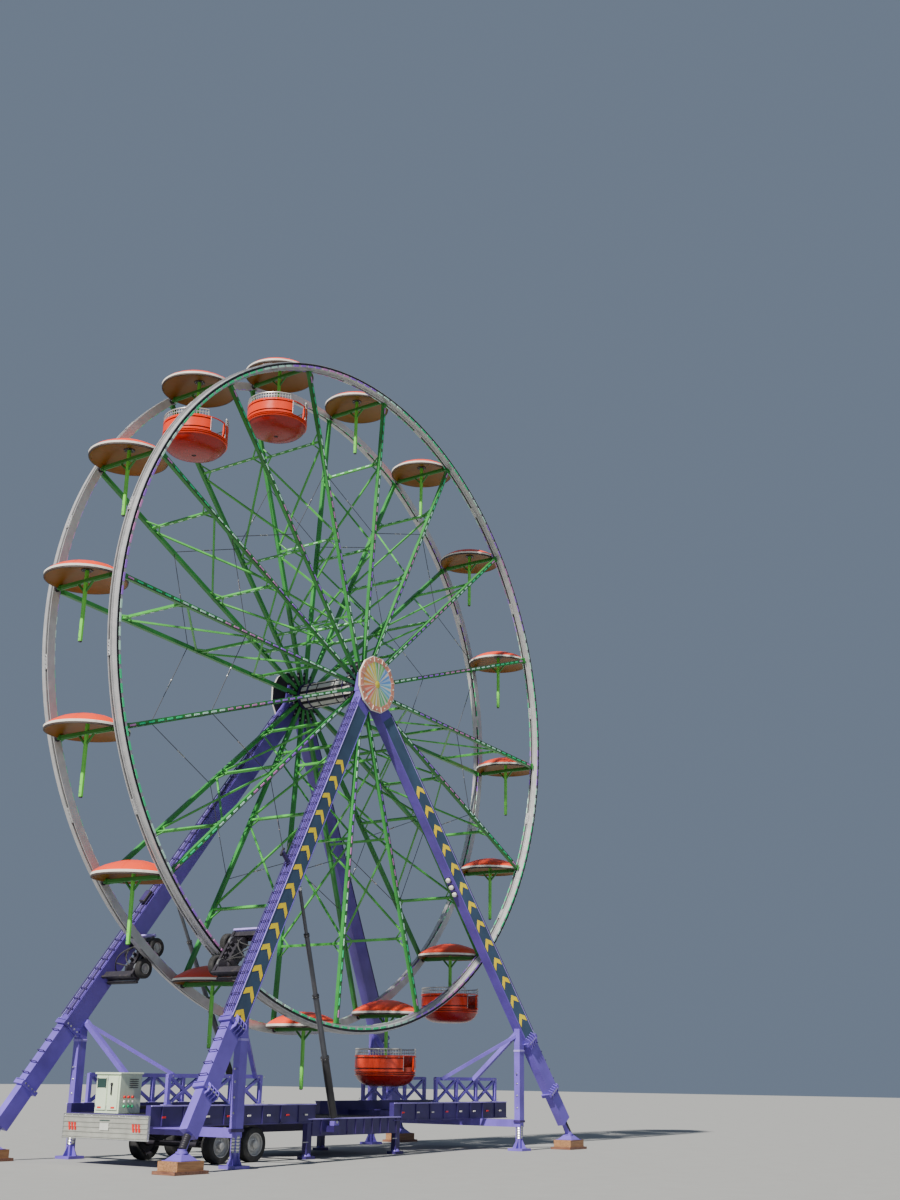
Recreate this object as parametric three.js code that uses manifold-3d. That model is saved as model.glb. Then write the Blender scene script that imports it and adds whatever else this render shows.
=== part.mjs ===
import * as THREE from 'three';
import { mergeVertices } from 'three/addons/utils/BufferGeometryUtils.js';
import Module from 'manifold-3d';

const wasm = await Module();
wasm.setup();

// Driving dimensions in millimetres. X lies in the wheel's plane, Y is its axis, Z is up, ground is Z = 0.
const HUB_Z = 11440;
const PIVOT_R = 8600;
const CABINS = 16;
const FIRST_ANGLE = 176.184;
const SEAT = 0.3;

// Rims: a deep channel that carries the spokes and a narrower track beside it for the drive tyres.
const RIM_FACETS = 64;
const RIM_IN = 8500;
const RIM_OUT = 8700;
const RIM_Y0 = 950;
const RIM_Y1 = 1050;
const TRACK_IN = 8540;
const TRACK_OUT = 8660;
const TRACK_Y1 = 1180;
const BOSS_R = 75;
const BOSS_Y = 925;

// Spoke frames: a near and a far spoke tied by struts and crossed braces.
const SPOKE = 95;
const SPOKE_Y = 1000;
const HUB_FLAT_R = 345;
const STRUT = 60;
const STRUT_RADII = [6600, 4000, 1900];
const BRACE = 42;

// Hub drum and stub shafts.
const DRUM_R = 300;
const FLANGE_Y0 = 945;
const FLANGE_Y1 = 1055;
const SHAFT_R = 94;
const SHAFT_Y = 1300;

// Cabin hangers and canopies, heights from the pivot.
const BEAM = 90;
const BEAM_Y = 900;
const PIN_R = 36;
const POST = 84;
const POST_LOW = -1400;
const CANOPY_R = 915;
const CANOPY_EDGE = 85;
const CANOPY_TOP = 402;
const TUB_CABINS = [2, 3, 10, 11];

// Tower legs: their axes meet on the hub axis and splay outward to the feet.
const LEG_X = 7290;
const LEG_TOP_Y = 1200;
const LEG_FOOT_Y = 2830;
const LEG_FOOT_Z = 420;
const LEG_WIDE = 450;
const LEG_THICK = 260;
const LEG_HINGE = 0.79;
const LEG_SLEEVE = 0.905;
const HEAD_Y0 = 1070;
const HEAD_Y1 = 1330;
const BORE_R = 101;
const SIGN_R = 750;
const SIGN_Y0 = 1445;
const SIGN_Y1 = 1505;

// Drive units pinch the track on the left legs.
const TYRE_R = 220;
const TYRE_Y0 = 1055;
const TYRE_Y1 = 1205;
const TYRE_GAP = 6;
const DRIVE_PLATE_Y = 1230;

// Trailer.
const TRAILER_X = 6640;
const BEAM_OUT = 1250;
const BEAM_IN = 1110;
const BEAM_TOP = 1180;
const BEAM_LOW = 760;
const WELL_X = 1500;
const DECK_TOP = 860;
const LATTICE_Y = 1180;
const LATTICE_TOP = 1790;
const LATTICE_BAY = 930;
const OUTRIGGER_X = 5400;
const OUTRIGGER_Y = 2440;

const group = new THREE.Group();
group.name = 'ferris_wheel';

const rad = (deg) => (deg * Math.PI) / 180;
const vec = (x, y, z) => new THREE.Vector3(x, y, z);

function solid(geometry) {
  const bare = geometry.clone();
  bare.deleteAttribute('normal');
  bare.deleteAttribute('uv');
  const merged = mergeVertices(bare, 1e-3);
  const pos = merged.attributes.position.array;
  const index = merged.index.array;
  const tri = [];
  let volume = 0;
  for (let i = 0; i < index.length; i += 3) {
    const [a, b, c] = [index[i], index[i + 1], index[i + 2]];
    if (a !== b && b !== c && a !== c) {
      tri.push(a, b, c);
      const pa = vec(pos[3 * a], pos[3 * a + 1], pos[3 * a + 2]);
      const pb = vec(pos[3 * b], pos[3 * b + 1], pos[3 * b + 2]);
      const pc = vec(pos[3 * c], pos[3 * c + 1], pos[3 * c + 2]);
      volume += pa.dot(pb.cross(pc));
    }
  }
  if (volume < 0) {
    for (let i = 0; i < tri.length; i += 3) {
      [tri[i + 1], tri[i + 2]] = [tri[i + 2], tri[i + 1]];
    }
  }
  const vertProperties = new Float32Array(pos);
  const triVerts = new Uint32Array(tri);
  return new wasm.Manifold(new wasm.Mesh({ numProp: 3, vertProperties, triVerts }));
}

function fuse(list) {
  let whole = list[0];
  for (const piece of list.slice(1)) {
    whole = whole.add(piece);
  }
  return whole;
}

// A box from its two extreme corners.
function block(x0, x1, y0, y1, z0, z1) {
  const shape = new THREE.BoxGeometry(Math.abs(x1 - x0), Math.abs(y1 - y0), Math.abs(z1 - z0));
  shape.translate((x0 + x1) / 2, (y0 + y1) / 2, (z0 + z1) / 2);
  return solid(shape);
}

// A straight box section from p to q: wide across the side vector, thick along the third direction.
function bar(p, q, wide, thick, side) {
  const along = q.clone().sub(p);
  const length = along.length();
  along.normalize();
  const third = along.clone().cross(side).normalize();
  const across = third.clone().cross(along).normalize();
  const shape = new THREE.BoxGeometry(wide, length, thick);
  const middle = p.clone().add(q).multiplyScalar(0.5);
  const basis = new THREE.Matrix4().makeBasis(across, along, third).setPosition(middle);
  shape.applyMatrix4(basis);
  return solid(shape);
}

// A round bar from p to q.
function rod(p, q, r0, r1, sides) {
  const along = q.clone().sub(p);
  const shape = new THREE.CylinderGeometry(r1, r0, along.length(), sides);
  const turn = new THREE.Quaternion().setFromUnitVectors(vec(0, 1, 0), along.normalize());
  shape.applyQuaternion(turn);
  const middle = p.clone().add(q).multiplyScalar(0.5);
  shape.translate(middle.x, middle.y, middle.z);
  return solid(shape);
}

// A closed profile of [radius, height] points turned about the Y axis or the Z axis.
function turned(profile, sides, start, upright) {
  const points = profile.map(([r, h]) => new THREE.Vector2(r, h));
  points.push(points[0].clone());
  const shape = new THREE.LatheGeometry(points, sides, start);
  if (upright) {
    shape.rotateX(Math.PI / 2);
  }
  return solid(shape);
}

function disc(r, y0, y1, sides, start, x = 0, z = HUB_Z) {
  return turned([[0, y0], [r, y0], [r, y1], [0, y1]], sides, start, false).translate([x, 0, z]);
}

function emit(name, shape, color, roughness, metalness) {
  const mesh = shape.getMesh();
  const geometry = new THREE.BufferGeometry();
  const position = new Float32Array(mesh.vertProperties);
  geometry.setAttribute('position', new THREE.BufferAttribute(position, 3));
  geometry.setIndex(Array.from(mesh.triVerts));
  geometry.computeVertexNormals();
  const material = new THREE.MeshStandardMaterial({ color, roughness, metalness });
  const node = new THREE.Mesh(geometry, material);
  node.name = name;
  group.add(node);
}

const PURPLE = 0x5a46a0;
const GREEN = 0x1f8a5a;
const SILVER = 0x9a9ca2;
const ORANGE = 0xe8502e;
const GREY = 0x6d7078;
const BLACK = 0x1b1b1d;
const RUBBER = 0x151516;

const angleOf = (k) => rad(FIRST_ANGLE - (360 / CABINS) * k);
const radial = (a, r, y) => vec(r * Math.cos(a), y, HUB_Z + r * Math.sin(a));
const tag = (k) => String(k).padStart(2, '0');

// Rims with a bearing boss at every cabin.
for (const [name, side] of [['near_rim', -1], ['far_rim', 1]]) {
  const profile = [
    [RIM_IN, side * RIM_Y0],
    [RIM_OUT, side * RIM_Y0],
    [RIM_OUT, side * RIM_Y1],
    [TRACK_OUT, side * RIM_Y1],
    [TRACK_OUT, side * TRACK_Y1],
    [TRACK_IN, side * TRACK_Y1],
    [TRACK_IN, side * RIM_Y1],
    [RIM_IN, side * RIM_Y1],
  ];
  const start = rad(90 - FIRST_ANGLE + 360 / RIM_FACETS / 2);
  let rim = turned(profile, RIM_FACETS, start, false).translate([0, 0, HUB_Z]);
  for (let k = 0; k < CABINS; k += 1) {
    const a = angleOf(k);
    const inner = radial(a, PIVOT_R, side * BOSS_Y);
    const outer = radial(a, PIVOT_R, side * (RIM_Y0 + 20));
    rim = rim.add(rod(inner, outer, BOSS_R, BOSS_R, 8));
  }
  emit(name, rim, SILVER, 0.45, 0.7);
}

// Hub drum between two flanges, with a stub shaft at each end.
{
  const flat = (r) => r / Math.cos(Math.PI / CABINS);
  const start = rad(90 - FIRST_ANGLE + 11.25);
  const pieces = [disc(flat(DRUM_R), -FLANGE_Y0 - 5, FLANGE_Y0 + 5, CABINS, start)];
  for (const side of [-1, 1]) {
    pieces.push(disc(flat(HUB_FLAT_R), side * FLANGE_Y0, side * FLANGE_Y1, CABINS, start));
    pieces.push(disc(SHAFT_R, side * (FLANGE_Y1 - 5), side * SHAFT_Y, 24, 0));
  }
  emit('hub_drum', fuse(pieces), GREY, 0.5, 0.4);
}

// Spoke frames.
const rimFlat = RIM_IN * Math.cos(Math.PI / RIM_FACETS);
for (let k = 0; k < CABINS; k += 1) {
  const a = angleOf(k);
  const across = vec(-Math.sin(a), 0, Math.cos(a));
  const pieces = [];
  for (const side of [-1, 1]) {
    const foot = radial(a, HUB_FLAT_R + SEAT, side * SPOKE_Y);
    const tip = radial(a, rimFlat - SEAT - 0.3, side * SPOKE_Y);
    pieces.push(bar(foot, tip, SPOKE, SPOKE, across));
  }
  for (const r of STRUT_RADII) {
    pieces.push(bar(radial(a, r, -SPOKE_Y), radial(a, r, SPOKE_Y), STRUT, STRUT, across));
  }
  for (let i = 0; i < 2; i += 1) {
    const [r0, r1] = [STRUT_RADII[i], STRUT_RADII[i + 1]];
    for (const side of [-1, 1]) {
      const from = radial(a, r0 - 120, -side * SPOKE_Y);
      const to = radial(a, r1 + 120, side * SPOKE_Y);
      pieces.push(bar(from, to, BRACE, BRACE, across));
    }
  }
  emit('spoke_frame_' + tag(k), fuse(pieces), GREEN, 0.45, 0.3);
}

// Cabin hangers: cross beam on two pins, centre post, knee braces and the canopy.
function hanger() {
  const pieces = [block(-BEAM / 2, BEAM / 2, -BEAM_Y, BEAM_Y, -BEAM / 2, BEAM / 2)];
  for (const side of [-1, 1]) {
    pieces.push(rod(vec(0, side * (BEAM_Y - 5), 0), vec(0, side * (BOSS_Y - SEAT), 0), PIN_R, PIN_R, 6));
    pieces.push(bar(vec(0, side * 330, -20), vec(0, 0, -330), 50, 50, vec(1, 0, 0)));
  }
  pieces.push(block(-POST / 2, POST / 2, -POST / 2, POST / 2, POST_LOW, 200));
  const canopy = [
    [0, 70],
    [CANOPY_R - 8, 0],
    [CANOPY_R, CANOPY_EDGE],
    [640, 262],
    [320, 364],
    [0, CANOPY_TOP],
  ];
  pieces.push(turned(canopy, 16, 0, true));
  return fuse(pieces);
}

// Tub: bowl, ridge, straight wall, rail ring, round bench and the centre pedestal that the post stands on.
function tub() {
  const profile = [
    [0, -1750],
    [420, -1735],
    [650, -1640],
    [775, -1480],
    [800, -1400],
    [800, -820],
    [765, -820],
    [765, -1000],
    [735, -1020],
    [725, -1270],
    [430, -1270],
    [400, -1640],
    [95, -1640],
    [95, POST_LOW - SEAT],
    [0, POST_LOW - SEAT],
  ];
  const door = block(-225, 225, -900, -360, -1390, -1020);
  return turned(profile, 16, rad(11.25), true).subtract(door);
}

const hangerShape = hanger();
const tubShape = tub();
for (let k = 0; k < CABINS; k += 1) {
  const pivot = radial(angleOf(k), PIVOT_R, 0);
  const place = [pivot.x, pivot.y, pivot.z];
  emit('canopy_hanger_' + tag(k), hangerShape.translate(place), ORANGE, 0.4, 0.0);
  if (TUB_CABINS.includes(k)) {
    emit('tub_' + tag(k), tubShape.translate(place), ORANGE, 0.4, 0.0);
  }
}

// Tower legs.
const legDrop = HUB_Z - LEG_FOOT_Z;
const legAt = (sx, sy, t) => vec(sx * LEG_X * t, sy * (LEG_TOP_Y + (LEG_FOOT_Y - LEG_TOP_Y) * t), HUB_Z - legDrop * t);
const legAxis = (sx, sy) => legAt(sx, sy, 1).sub(legAt(sx, sy, 0)).normalize();

// The plain upper section of a leg, grown on every side, used to seat neighbours on it.
function legSleeve(sx, sy, grow) {
  const wide = LEG_WIDE + 2 * grow;
  const thick = LEG_THICK + 2 * grow;
  const side = vec(0, 1, 0);
  return bar(legAt(sx, sy, 0.02), legAt(sx, sy, LEG_HINGE), thick, wide, side);
}

// The bearing head at the top, a plate with flats that face the two legs.
function head(sy, grow) {
  const lean = Math.atan2(LEG_X, legDrop);
  const half = LEG_WIDE / 2 + 12;
  const reach = 400 + grow;
  const right = [
    [reach * Math.sin(lean) + half * Math.cos(lean), -reach * Math.cos(lean) + half * Math.sin(lean)],
    [reach * Math.sin(lean) - half * Math.cos(lean), -reach * Math.cos(lean) - half * Math.sin(lean)],
  ];
  const points = [
    [300, 330],
    right[0],
    [Math.max(right[1][0], 20), right[1][1]],
    [-Math.max(right[1][0], 20), right[1][1]],
    [-right[0][0], right[0][1]],
    [-300, 330],
  ];
  const outline = new THREE.Shape(points.map(([x, z]) => new THREE.Vector2(x, z)));
  const depth = HEAD_Y1 - HEAD_Y0 + 2 * grow;
  const shape = new THREE.ExtrudeGeometry(outline, { depth, bevelEnabled: false });
  shape.rotateX(Math.PI / 2);
  const plate = solid(shape);
  const box = plate.boundingBox();
  const middle = (box.min[1] + box.max[1]) / 2;
  return plate.translate([0, sy * (HEAD_Y0 + HEAD_Y1) / 2 - middle, HUB_Z]);
}

function foot(sx, sy) {
  const base = legAt(sx, sy, 1);
  const [x, y] = [base.x, base.y];
  const cone = new THREE.CylinderGeometry(130, 330, 130, 4, 1, false, Math.PI / 4);
  cone.rotateX(Math.PI / 2);
  cone.translate(x, y, 295);
  return fuse([
    block(x - 450, x + 450, y - 300, y + 300, 0, 60),
    block(x - 350, x + 350, y - 260, y + 260, 60, 232),
    solid(cone),
    rod(vec(x, y, 340), legAt(sx, sy, 0.965), 70, 70, 12),
  ]);
}

function leg(sx, sy) {
  const side = vec(0, 1, 0);
  const up = legSleeve(sx, sy, 0);
  const hinge = legAt(sx, sy, LEG_HINGE);
  const axis = legAxis(sx, sy);
  const flange = (t, size) => {
    const c = legAt(sx, sy, t);
    const half = axis.clone().multiplyScalar(45);
    return bar(c.clone().sub(half), c.clone().add(half), LEG_THICK + size, LEG_WIDE + size, side);
  };
  const lower = bar(hinge, legAt(sx, sy, LEG_SLEEVE), LEG_THICK - 30, LEG_WIDE - 40, side);
  const sleeve = bar(legAt(sx, sy, LEG_SLEEVE - 0.005), legAt(sx, sy, 0.975), LEG_THICK - 60, LEG_WIDE - 90, side);
  return fuse([up, flange(LEG_HINGE, 70), lower, flange(LEG_SLEEVE, 40), sleeve, foot(sx, sy)]);
}

const SIDES = [['near', -1], ['far', 1]];
const ENDS = [['left', -1], ['right', 1]];
for (const [sideName, sy] of SIDES) {
  const bore = disc(BORE_R, sy * (HEAD_Y0 - 50), sy * (SHAFT_Y + SEAT), 24, 0);
  const headPlate = head(sy, 0).subtract(bore);
  const clear = head(sy, SEAT);
  const middle = block(-SEAT / 2 - 400, SEAT / 2, -4000, 4000, HUB_Z - 2500, HUB_Z + 500);
  for (const [endName, sx] of ENDS) {
    let shape = leg(sx, sy);
    if (sx < 0) {
      shape = shape.subtract(block(-SEAT / 2, 900, -4000, 4000, HUB_Z - 2500, HUB_Z - 250)).subtract(bore);
      shape = fuse([shape, headPlate]);
    } else {
      shape = shape.subtract(middle).subtract(clear);
    }
    emit(sideName + '_' + endName + '_leg', shape, PURPLE, 0.45, 0.3);
  }
}

// Round signs on spacers outboard of the bearing heads.
for (const [sideName, sy] of SIDES) {
  const plate = disc(SIGN_R, sy * SIGN_Y0, sy * SIGN_Y1, 12, rad(15));
  const spacer = disc(150, sy * (HEAD_Y1 + SEAT), sy * (SIGN_Y0 + 10), 16, 0);
  emit(sideName + '_sign', fuse([plate, spacer]), 0xe9c98a, 0.5, 0.0);
}

// Drive units: a plate, arms to the leg and motors, with a tyre on each face of the track.
const driveAngle = Math.atan2(-legDrop, -LEG_X);
const trackFlat = TRACK_IN * Math.cos(Math.PI / RIM_FACETS);
const outerTyreR = TRACK_OUT + TYRE_GAP + TYRE_R;
const innerTyreR = trackFlat - TYRE_GAP - TYRE_R;
for (const [sideName, sy] of SIDES) {
  const tangent = vec(-Math.sin(driveAngle), 0, Math.cos(driveAngle));
  const at = (r, y) => radial(driveAngle, r, sy * y);
  const legY = (r) => LEG_TOP_Y + ((LEG_FOOT_Y - LEG_TOP_Y) * r) / Math.hypot(LEG_X, legDrop);
  const pieces = [bar(at(8080, DRIVE_PLATE_Y + 35), at(9120, DRIVE_PLATE_Y + 35), 70, 260, vec(0, 1, 0))];
  for (const r of [innerTyreR, outerTyreR]) {
    pieces.push(rod(at(r, DRIVE_PLATE_Y + 30), at(r, DRIVE_PLATE_Y + 380), 120, 120, 14));
  }
  for (const r of [8130, 9060]) {
    pieces.push(bar(at(r, DRIVE_PLATE_Y + 30), at(r, legY(r)), 200, 110, tangent));
  }
  const unit = fuse(pieces).subtract(legSleeve(-1, sy, SEAT));
  emit(sideName + '_drive_unit', unit, 0x40345f, 0.5, 0.4);
  for (const [place, r] of [['outer', outerTyreR], ['inner', innerTyreR]]) {
    const c = at(r, 0);
    const tyre = turned(
      [
        [0, sy * TYRE_Y0],
        [TYRE_R, sy * TYRE_Y0],
        [TYRE_R, sy * TYRE_Y1],
        [40, sy * TYRE_Y1],
        [40, sy * (DRIVE_PLATE_Y - SEAT)],
        [0, sy * (DRIVE_PLATE_Y - SEAT)],
      ],
      16,
      0,
      false,
    ).translate([c.x, 0, c.z]);
    emit(sideName + '_' + place + '_drive_tyre', tyre, RUBBER, 0.85, 0.0);
  }
}

// Telescopic rams that raised the tower, from the trailer's sides to the left legs.
for (const [sideName, sy] of SIDES) {
  const top = vec(-3320, sy * 1985, HUB_Z - 5440);
  const low = vec(-980, sy * 1400, HUB_Z - 10680);
  const mark = (t) => top.clone().lerp(low, t);
  const ram = fuse([
    rod(mark(0.012), mark(0.23), 40, 40, 8),
    rod(mark(0.215), mark(0.48), 55, 55, 8),
    rod(mark(0.47), mark(0.735), 67, 67, 8),
    rod(mark(0.725), mark(0.99), 88, 88, 8),
    block(top.x - 170, top.x + 50, top.y - 45, top.y + 45, top.z - 120, top.z + 120),
    block(low.x - 100, low.x + 100, low.y - 70, low.y + 70, 700 + SEAT, 800),
  ]).subtract(legSleeve(-1, sy, SEAT));
  emit(sideName + '_lift_ram', ram, GREY, 0.4, 0.6);
}

// Trailer frame: side beams with a low middle, cross members, decks, ram brackets and the tail lattice.
{
  const pieces = [];
  for (const sy of [-1, 1]) {
    const [y0, y1] = [sy * BEAM_IN, sy * BEAM_OUT];
    pieces.push(block(-TRAILER_X, -WELL_X, y0, y1, BEAM_LOW, BEAM_TOP));
    pieces.push(block(WELL_X, TRAILER_X, y0, y1, BEAM_LOW, BEAM_TOP));
    pieces.push(block(-WELL_X - 260, WELL_X + 260, y0, y1, 480, DECK_TOP));
    pieces.push(block(-1080, -880, sy * (BEAM_OUT - 20), sy * 1480, 560, 700));
    for (const x of [-1760, 1600]) {
      pieces.push(block(x, x + 160, y0, y1, 60, 500));
      pieces.push(block(x - 80, x + 240, sy * (BEAM_IN - 60), sy * (BEAM_OUT + 60), 0, 62));
    }
    const rail = sy * LATTICE_Y;
    for (const sx of [-1, 1]) {
      const at = (i) => sx * (6150 - LATTICE_BAY * i);
      pieces.push(block(at(0), at(3), rail - 40, rail + 40, LATTICE_TOP - 80, LATTICE_TOP));
      for (let i = 0; i < 4; i += 1) {
        pieces.push(block(at(i) - 40, at(i) + 40, rail - 40, rail + 40, BEAM_TOP - 5, LATTICE_TOP - 10));
      }
      for (let i = 0; i < 3; i += 1) {
        for (const [z0, z1] of [[BEAM_TOP, LATTICE_TOP - 40], [LATTICE_TOP - 40, BEAM_TOP]]) {
          pieces.push(bar(vec(at(i), rail, z0), vec(at(i + 1), rail, z1), 60, 60, vec(0, 1, 0)));
        }
      }
    }
  }
  for (const x of [-6640, -5900, -4900, -3900, -2800, 2680, 3780, 4780, 5780, 6520]) {
    pieces.push(block(x, x + 120, -BEAM_IN - 10, BEAM_IN + 10, 780, 960));
  }
  pieces.push(block(-WELL_X - 200, WELL_X + 200, -BEAM_IN - 10, BEAM_IN + 10, DECK_TOP - 60, DECK_TOP));
  pieces.push(block(-TRAILER_X, -5790, -BEAM_IN - 10, BEAM_IN + 10, 950, 1000));
  pieces.push(block(5790, TRAILER_X, -BEAM_IN - 10, BEAM_IN + 10, 950, 1000));
  pieces.push(block(-2700, -WELL_X, -120, 120, 800, 900));
  emit('trailer_frame', fuse(pieces), PURPLE, 0.5, 0.3);
}

// Ribbed board across the tail.
{
  const pieces = [block(-TRAILER_X - SEAT - 45, -TRAILER_X - SEAT, -1250, 1250, 500, 980)];
  for (let i = 0; i < 5; i += 1) {
    const z = 540 + 95 * i;
    const x = -TRAILER_X - SEAT - 44;
    pieces.push(block(x - 13, x + 1, -1240, 1240, z, z + 35));
  }
  emit('tail_board', fuse(pieces), 0xa5a79c, 0.5, 0.6);
}

// Electric cabinet on the tail deck.
{
  const base = 1000 + SEAT;
  const pieces = [
    block(-6540, -5950, -205, 510, base, 1770),
    block(-6555, -5940, -220, 525, 1765, 1792),
    block(-6552, -6535, -165, 145, 1060, 1730),
    block(-6552, -6535, 165, 475, 1060, 1730),
  ];
  emit('electric_cabinet', fuse(pieces), 0xcfe0c4, 0.5, 0.2);
}

// Tandem road axles under the tail end.
{
  const pieces = [block(-4700, -3250, -90, 90, 300, BEAM_LOW - 60)];
  for (const x of [-4500, -3450]) {
    pieces.push(block(x - 60, x + 60, -1000, 1000, 300, 420));
    for (const sy of [-1, 1]) {
      pieces.push(disc(360, sy * 960, sy * 1215, 16, 0, x, 360.5));
      pieces.push(disc(110, sy * 1200, sy * 1245, 6, 0, x, 360.5));
    }
  }
  pieces.push(block(-4700, -3250, -700, -560, 400, BEAM_LOW + 20 - SEAT));
  pieces.push(block(-4700, -3250, 560, 700, 400, BEAM_LOW + 20 - SEAT));
  emit('road_axles', fuse(pieces), BLACK, 0.7, 0.1);
}

// Outriggers: a beam under the trailer, a post under each leg hinge and braces back to the trailer.
for (const [endName, sx] of ENDS) {
  const x = sx * OUTRIGGER_X;
  const pieces = [block(x - 90, x + 90, -OUTRIGGER_Y - 80, OUTRIGGER_Y + 80, 580, BEAM_LOW - SEAT)];
  for (const sy of [-1, 1]) {
    const y = sy * OUTRIGGER_Y;
    const rail = sy * (LATTICE_Y + 40);
    pieces.push(block(x - 110, x + 110, y - 85, y + 85, 700, 3300));
    pieces.push(block(x - 70, x + 70, y - 70, y + 70, 50, 710));
    pieces.push(block(x - 220, x + 220, y - 220, y + 220, 0, 60));
    pieces.push(bar(vec(x, y, 2980), vec(sx * 5050, rail, LATTICE_TOP - 60), 110, 110, vec(1, 0, 0)));
    pieces.push(bar(vec(x, y, 2900), vec(sx * 3570, rail, LATTICE_TOP - 50), 80, 80, vec(0, 0, 1)));
  }
  let shape = fuse(pieces);
  for (const sy of [-1, 1]) {
    const top = legAt(sx, sy, LEG_HINGE);
    const above = bar(legAt(sx, sy, 0.6), legAt(sx, sy, 0.9), LEG_THICK + 900, LEG_WIDE + 2 * SEAT, vec(0, 1, 0));
    const trailer = block(x - 2000, x + 2000, 0, sy * (LATTICE_Y + 40 + SEAT), BEAM_LOW - 0.1, LATTICE_TOP + 100);
    shape = shape.subtract(above).subtract(trailer);
    shape = shape.subtract(block(x - 700, x + 700, sy * 1500, sy * 3200, top.z + 500, 4500));
  }
  emit(endName + '_outriggers', shape, PURPLE, 0.5, 0.3);
}

export default group;
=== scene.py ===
from math import asin, atan2, cos, hypot, pi, radians, sin, tau

import bmesh
import bpy
from mathutils import Matrix, Quaternion, Vector


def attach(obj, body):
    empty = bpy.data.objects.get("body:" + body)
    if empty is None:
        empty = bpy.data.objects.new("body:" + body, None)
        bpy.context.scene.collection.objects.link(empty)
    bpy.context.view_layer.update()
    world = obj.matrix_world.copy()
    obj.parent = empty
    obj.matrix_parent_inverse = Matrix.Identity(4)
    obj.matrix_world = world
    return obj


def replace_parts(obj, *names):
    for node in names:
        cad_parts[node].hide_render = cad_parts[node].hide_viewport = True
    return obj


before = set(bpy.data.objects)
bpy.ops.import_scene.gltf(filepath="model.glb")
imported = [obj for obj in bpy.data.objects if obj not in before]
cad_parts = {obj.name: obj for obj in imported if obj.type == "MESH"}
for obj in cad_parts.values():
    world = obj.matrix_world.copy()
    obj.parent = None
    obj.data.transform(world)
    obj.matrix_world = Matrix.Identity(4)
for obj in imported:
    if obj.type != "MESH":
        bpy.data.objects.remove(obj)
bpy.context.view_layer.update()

# Sizes in metres. X lies in the wheel's plane, Y is its axis, Z is up, the floor is Z = 0.
HUB = Vector((0.0, 0.0, 11.44))
PIVOT_R = 8.6
CABINS = 16
FIRST_ANGLE = radians(176.184)
TUB_CABINS = (2, 3, 10, 11)

RIM_IN, RIM_OUT, RIM_Y0, RIM_Y1 = 8.5, 8.7, 0.95, 1.05
TRACK_IN, TRACK_OUT, TRACK_Y1 = 8.54, 8.66, 1.18
SPOKE_HALF, SPOKE_Y = 0.0475, 1.0
STRUT_RADII = (6.6, 4.0, 1.9)
DRUM_R, FLANGE_R, FLANGE_Y1 = 0.30, 0.345, 1.055

BEAM_HALF, POST_HALF, POST_LOW = 0.045, 0.042, -1.40
TUB_R = 0.80

LEG_X, LEG_TOP_Y, LEG_FOOT_Y, LEG_FOOT_Z = 7.29, 1.20, 2.83, 0.42
LEG_WIDE, LEG_THICK = 0.45, 0.26
LEG_HINGE, LEG_SLEEVE = 0.79, 0.905
LEG_DROP = HUB.z - LEG_FOOT_Z
LEG_LENGTH = hypot(LEG_X, LEG_DROP)
BOARD_TOP, PACKING_TOP, RIB_LOW, RIB_TOP = 0.061, 0.2325, 0.2335, 0.36
HEAD_Y1, SIGN_Y1 = 1.33, 1.505

TYRE_R, TYRE_Y0, TYRE_Y1, TYRE_GAP = 0.22, 1.055, 1.205, 0.006
DRIVE_ANGLE = atan2(-LEG_DROP, -LEG_X)
OUTER_TYRE_AT = TRACK_OUT + TYRE_GAP + TYRE_R
INNER_TYRE_AT = TRACK_IN * cos(pi / 64) - TYRE_GAP - TYRE_R

TRAILER_X, BEAM_OUT, BEAM_LOW, BEAM_TOP = 6.64, 1.25, 0.76, 1.18
WELL_X, WELL_LOW, DECK_TOP = 1.5, 0.48, 0.86
LATTICE_Y, LATTICE_TOP = 1.18, 1.79
OUTRIGGER_X, OUTRIGGER_Y = 5.4, 2.44
ROAD_AXLES_X, ROAD_TYRE_Z = (-4.5, -3.45), 0.3605

SIDES = (("near", -1), ("far", 1))
ENDS = (("left", -1), ("right", 1))
X, Y, Z = Vector((1, 0, 0)), Vector((0, 1, 0)), Vector((0, 0, 1))


# Materials. Every finish is made of nodes in object coordinates.

def shade(color, factor):
    return tuple(min(1.0, c * factor) for c in color) + (1.0,)


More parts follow.
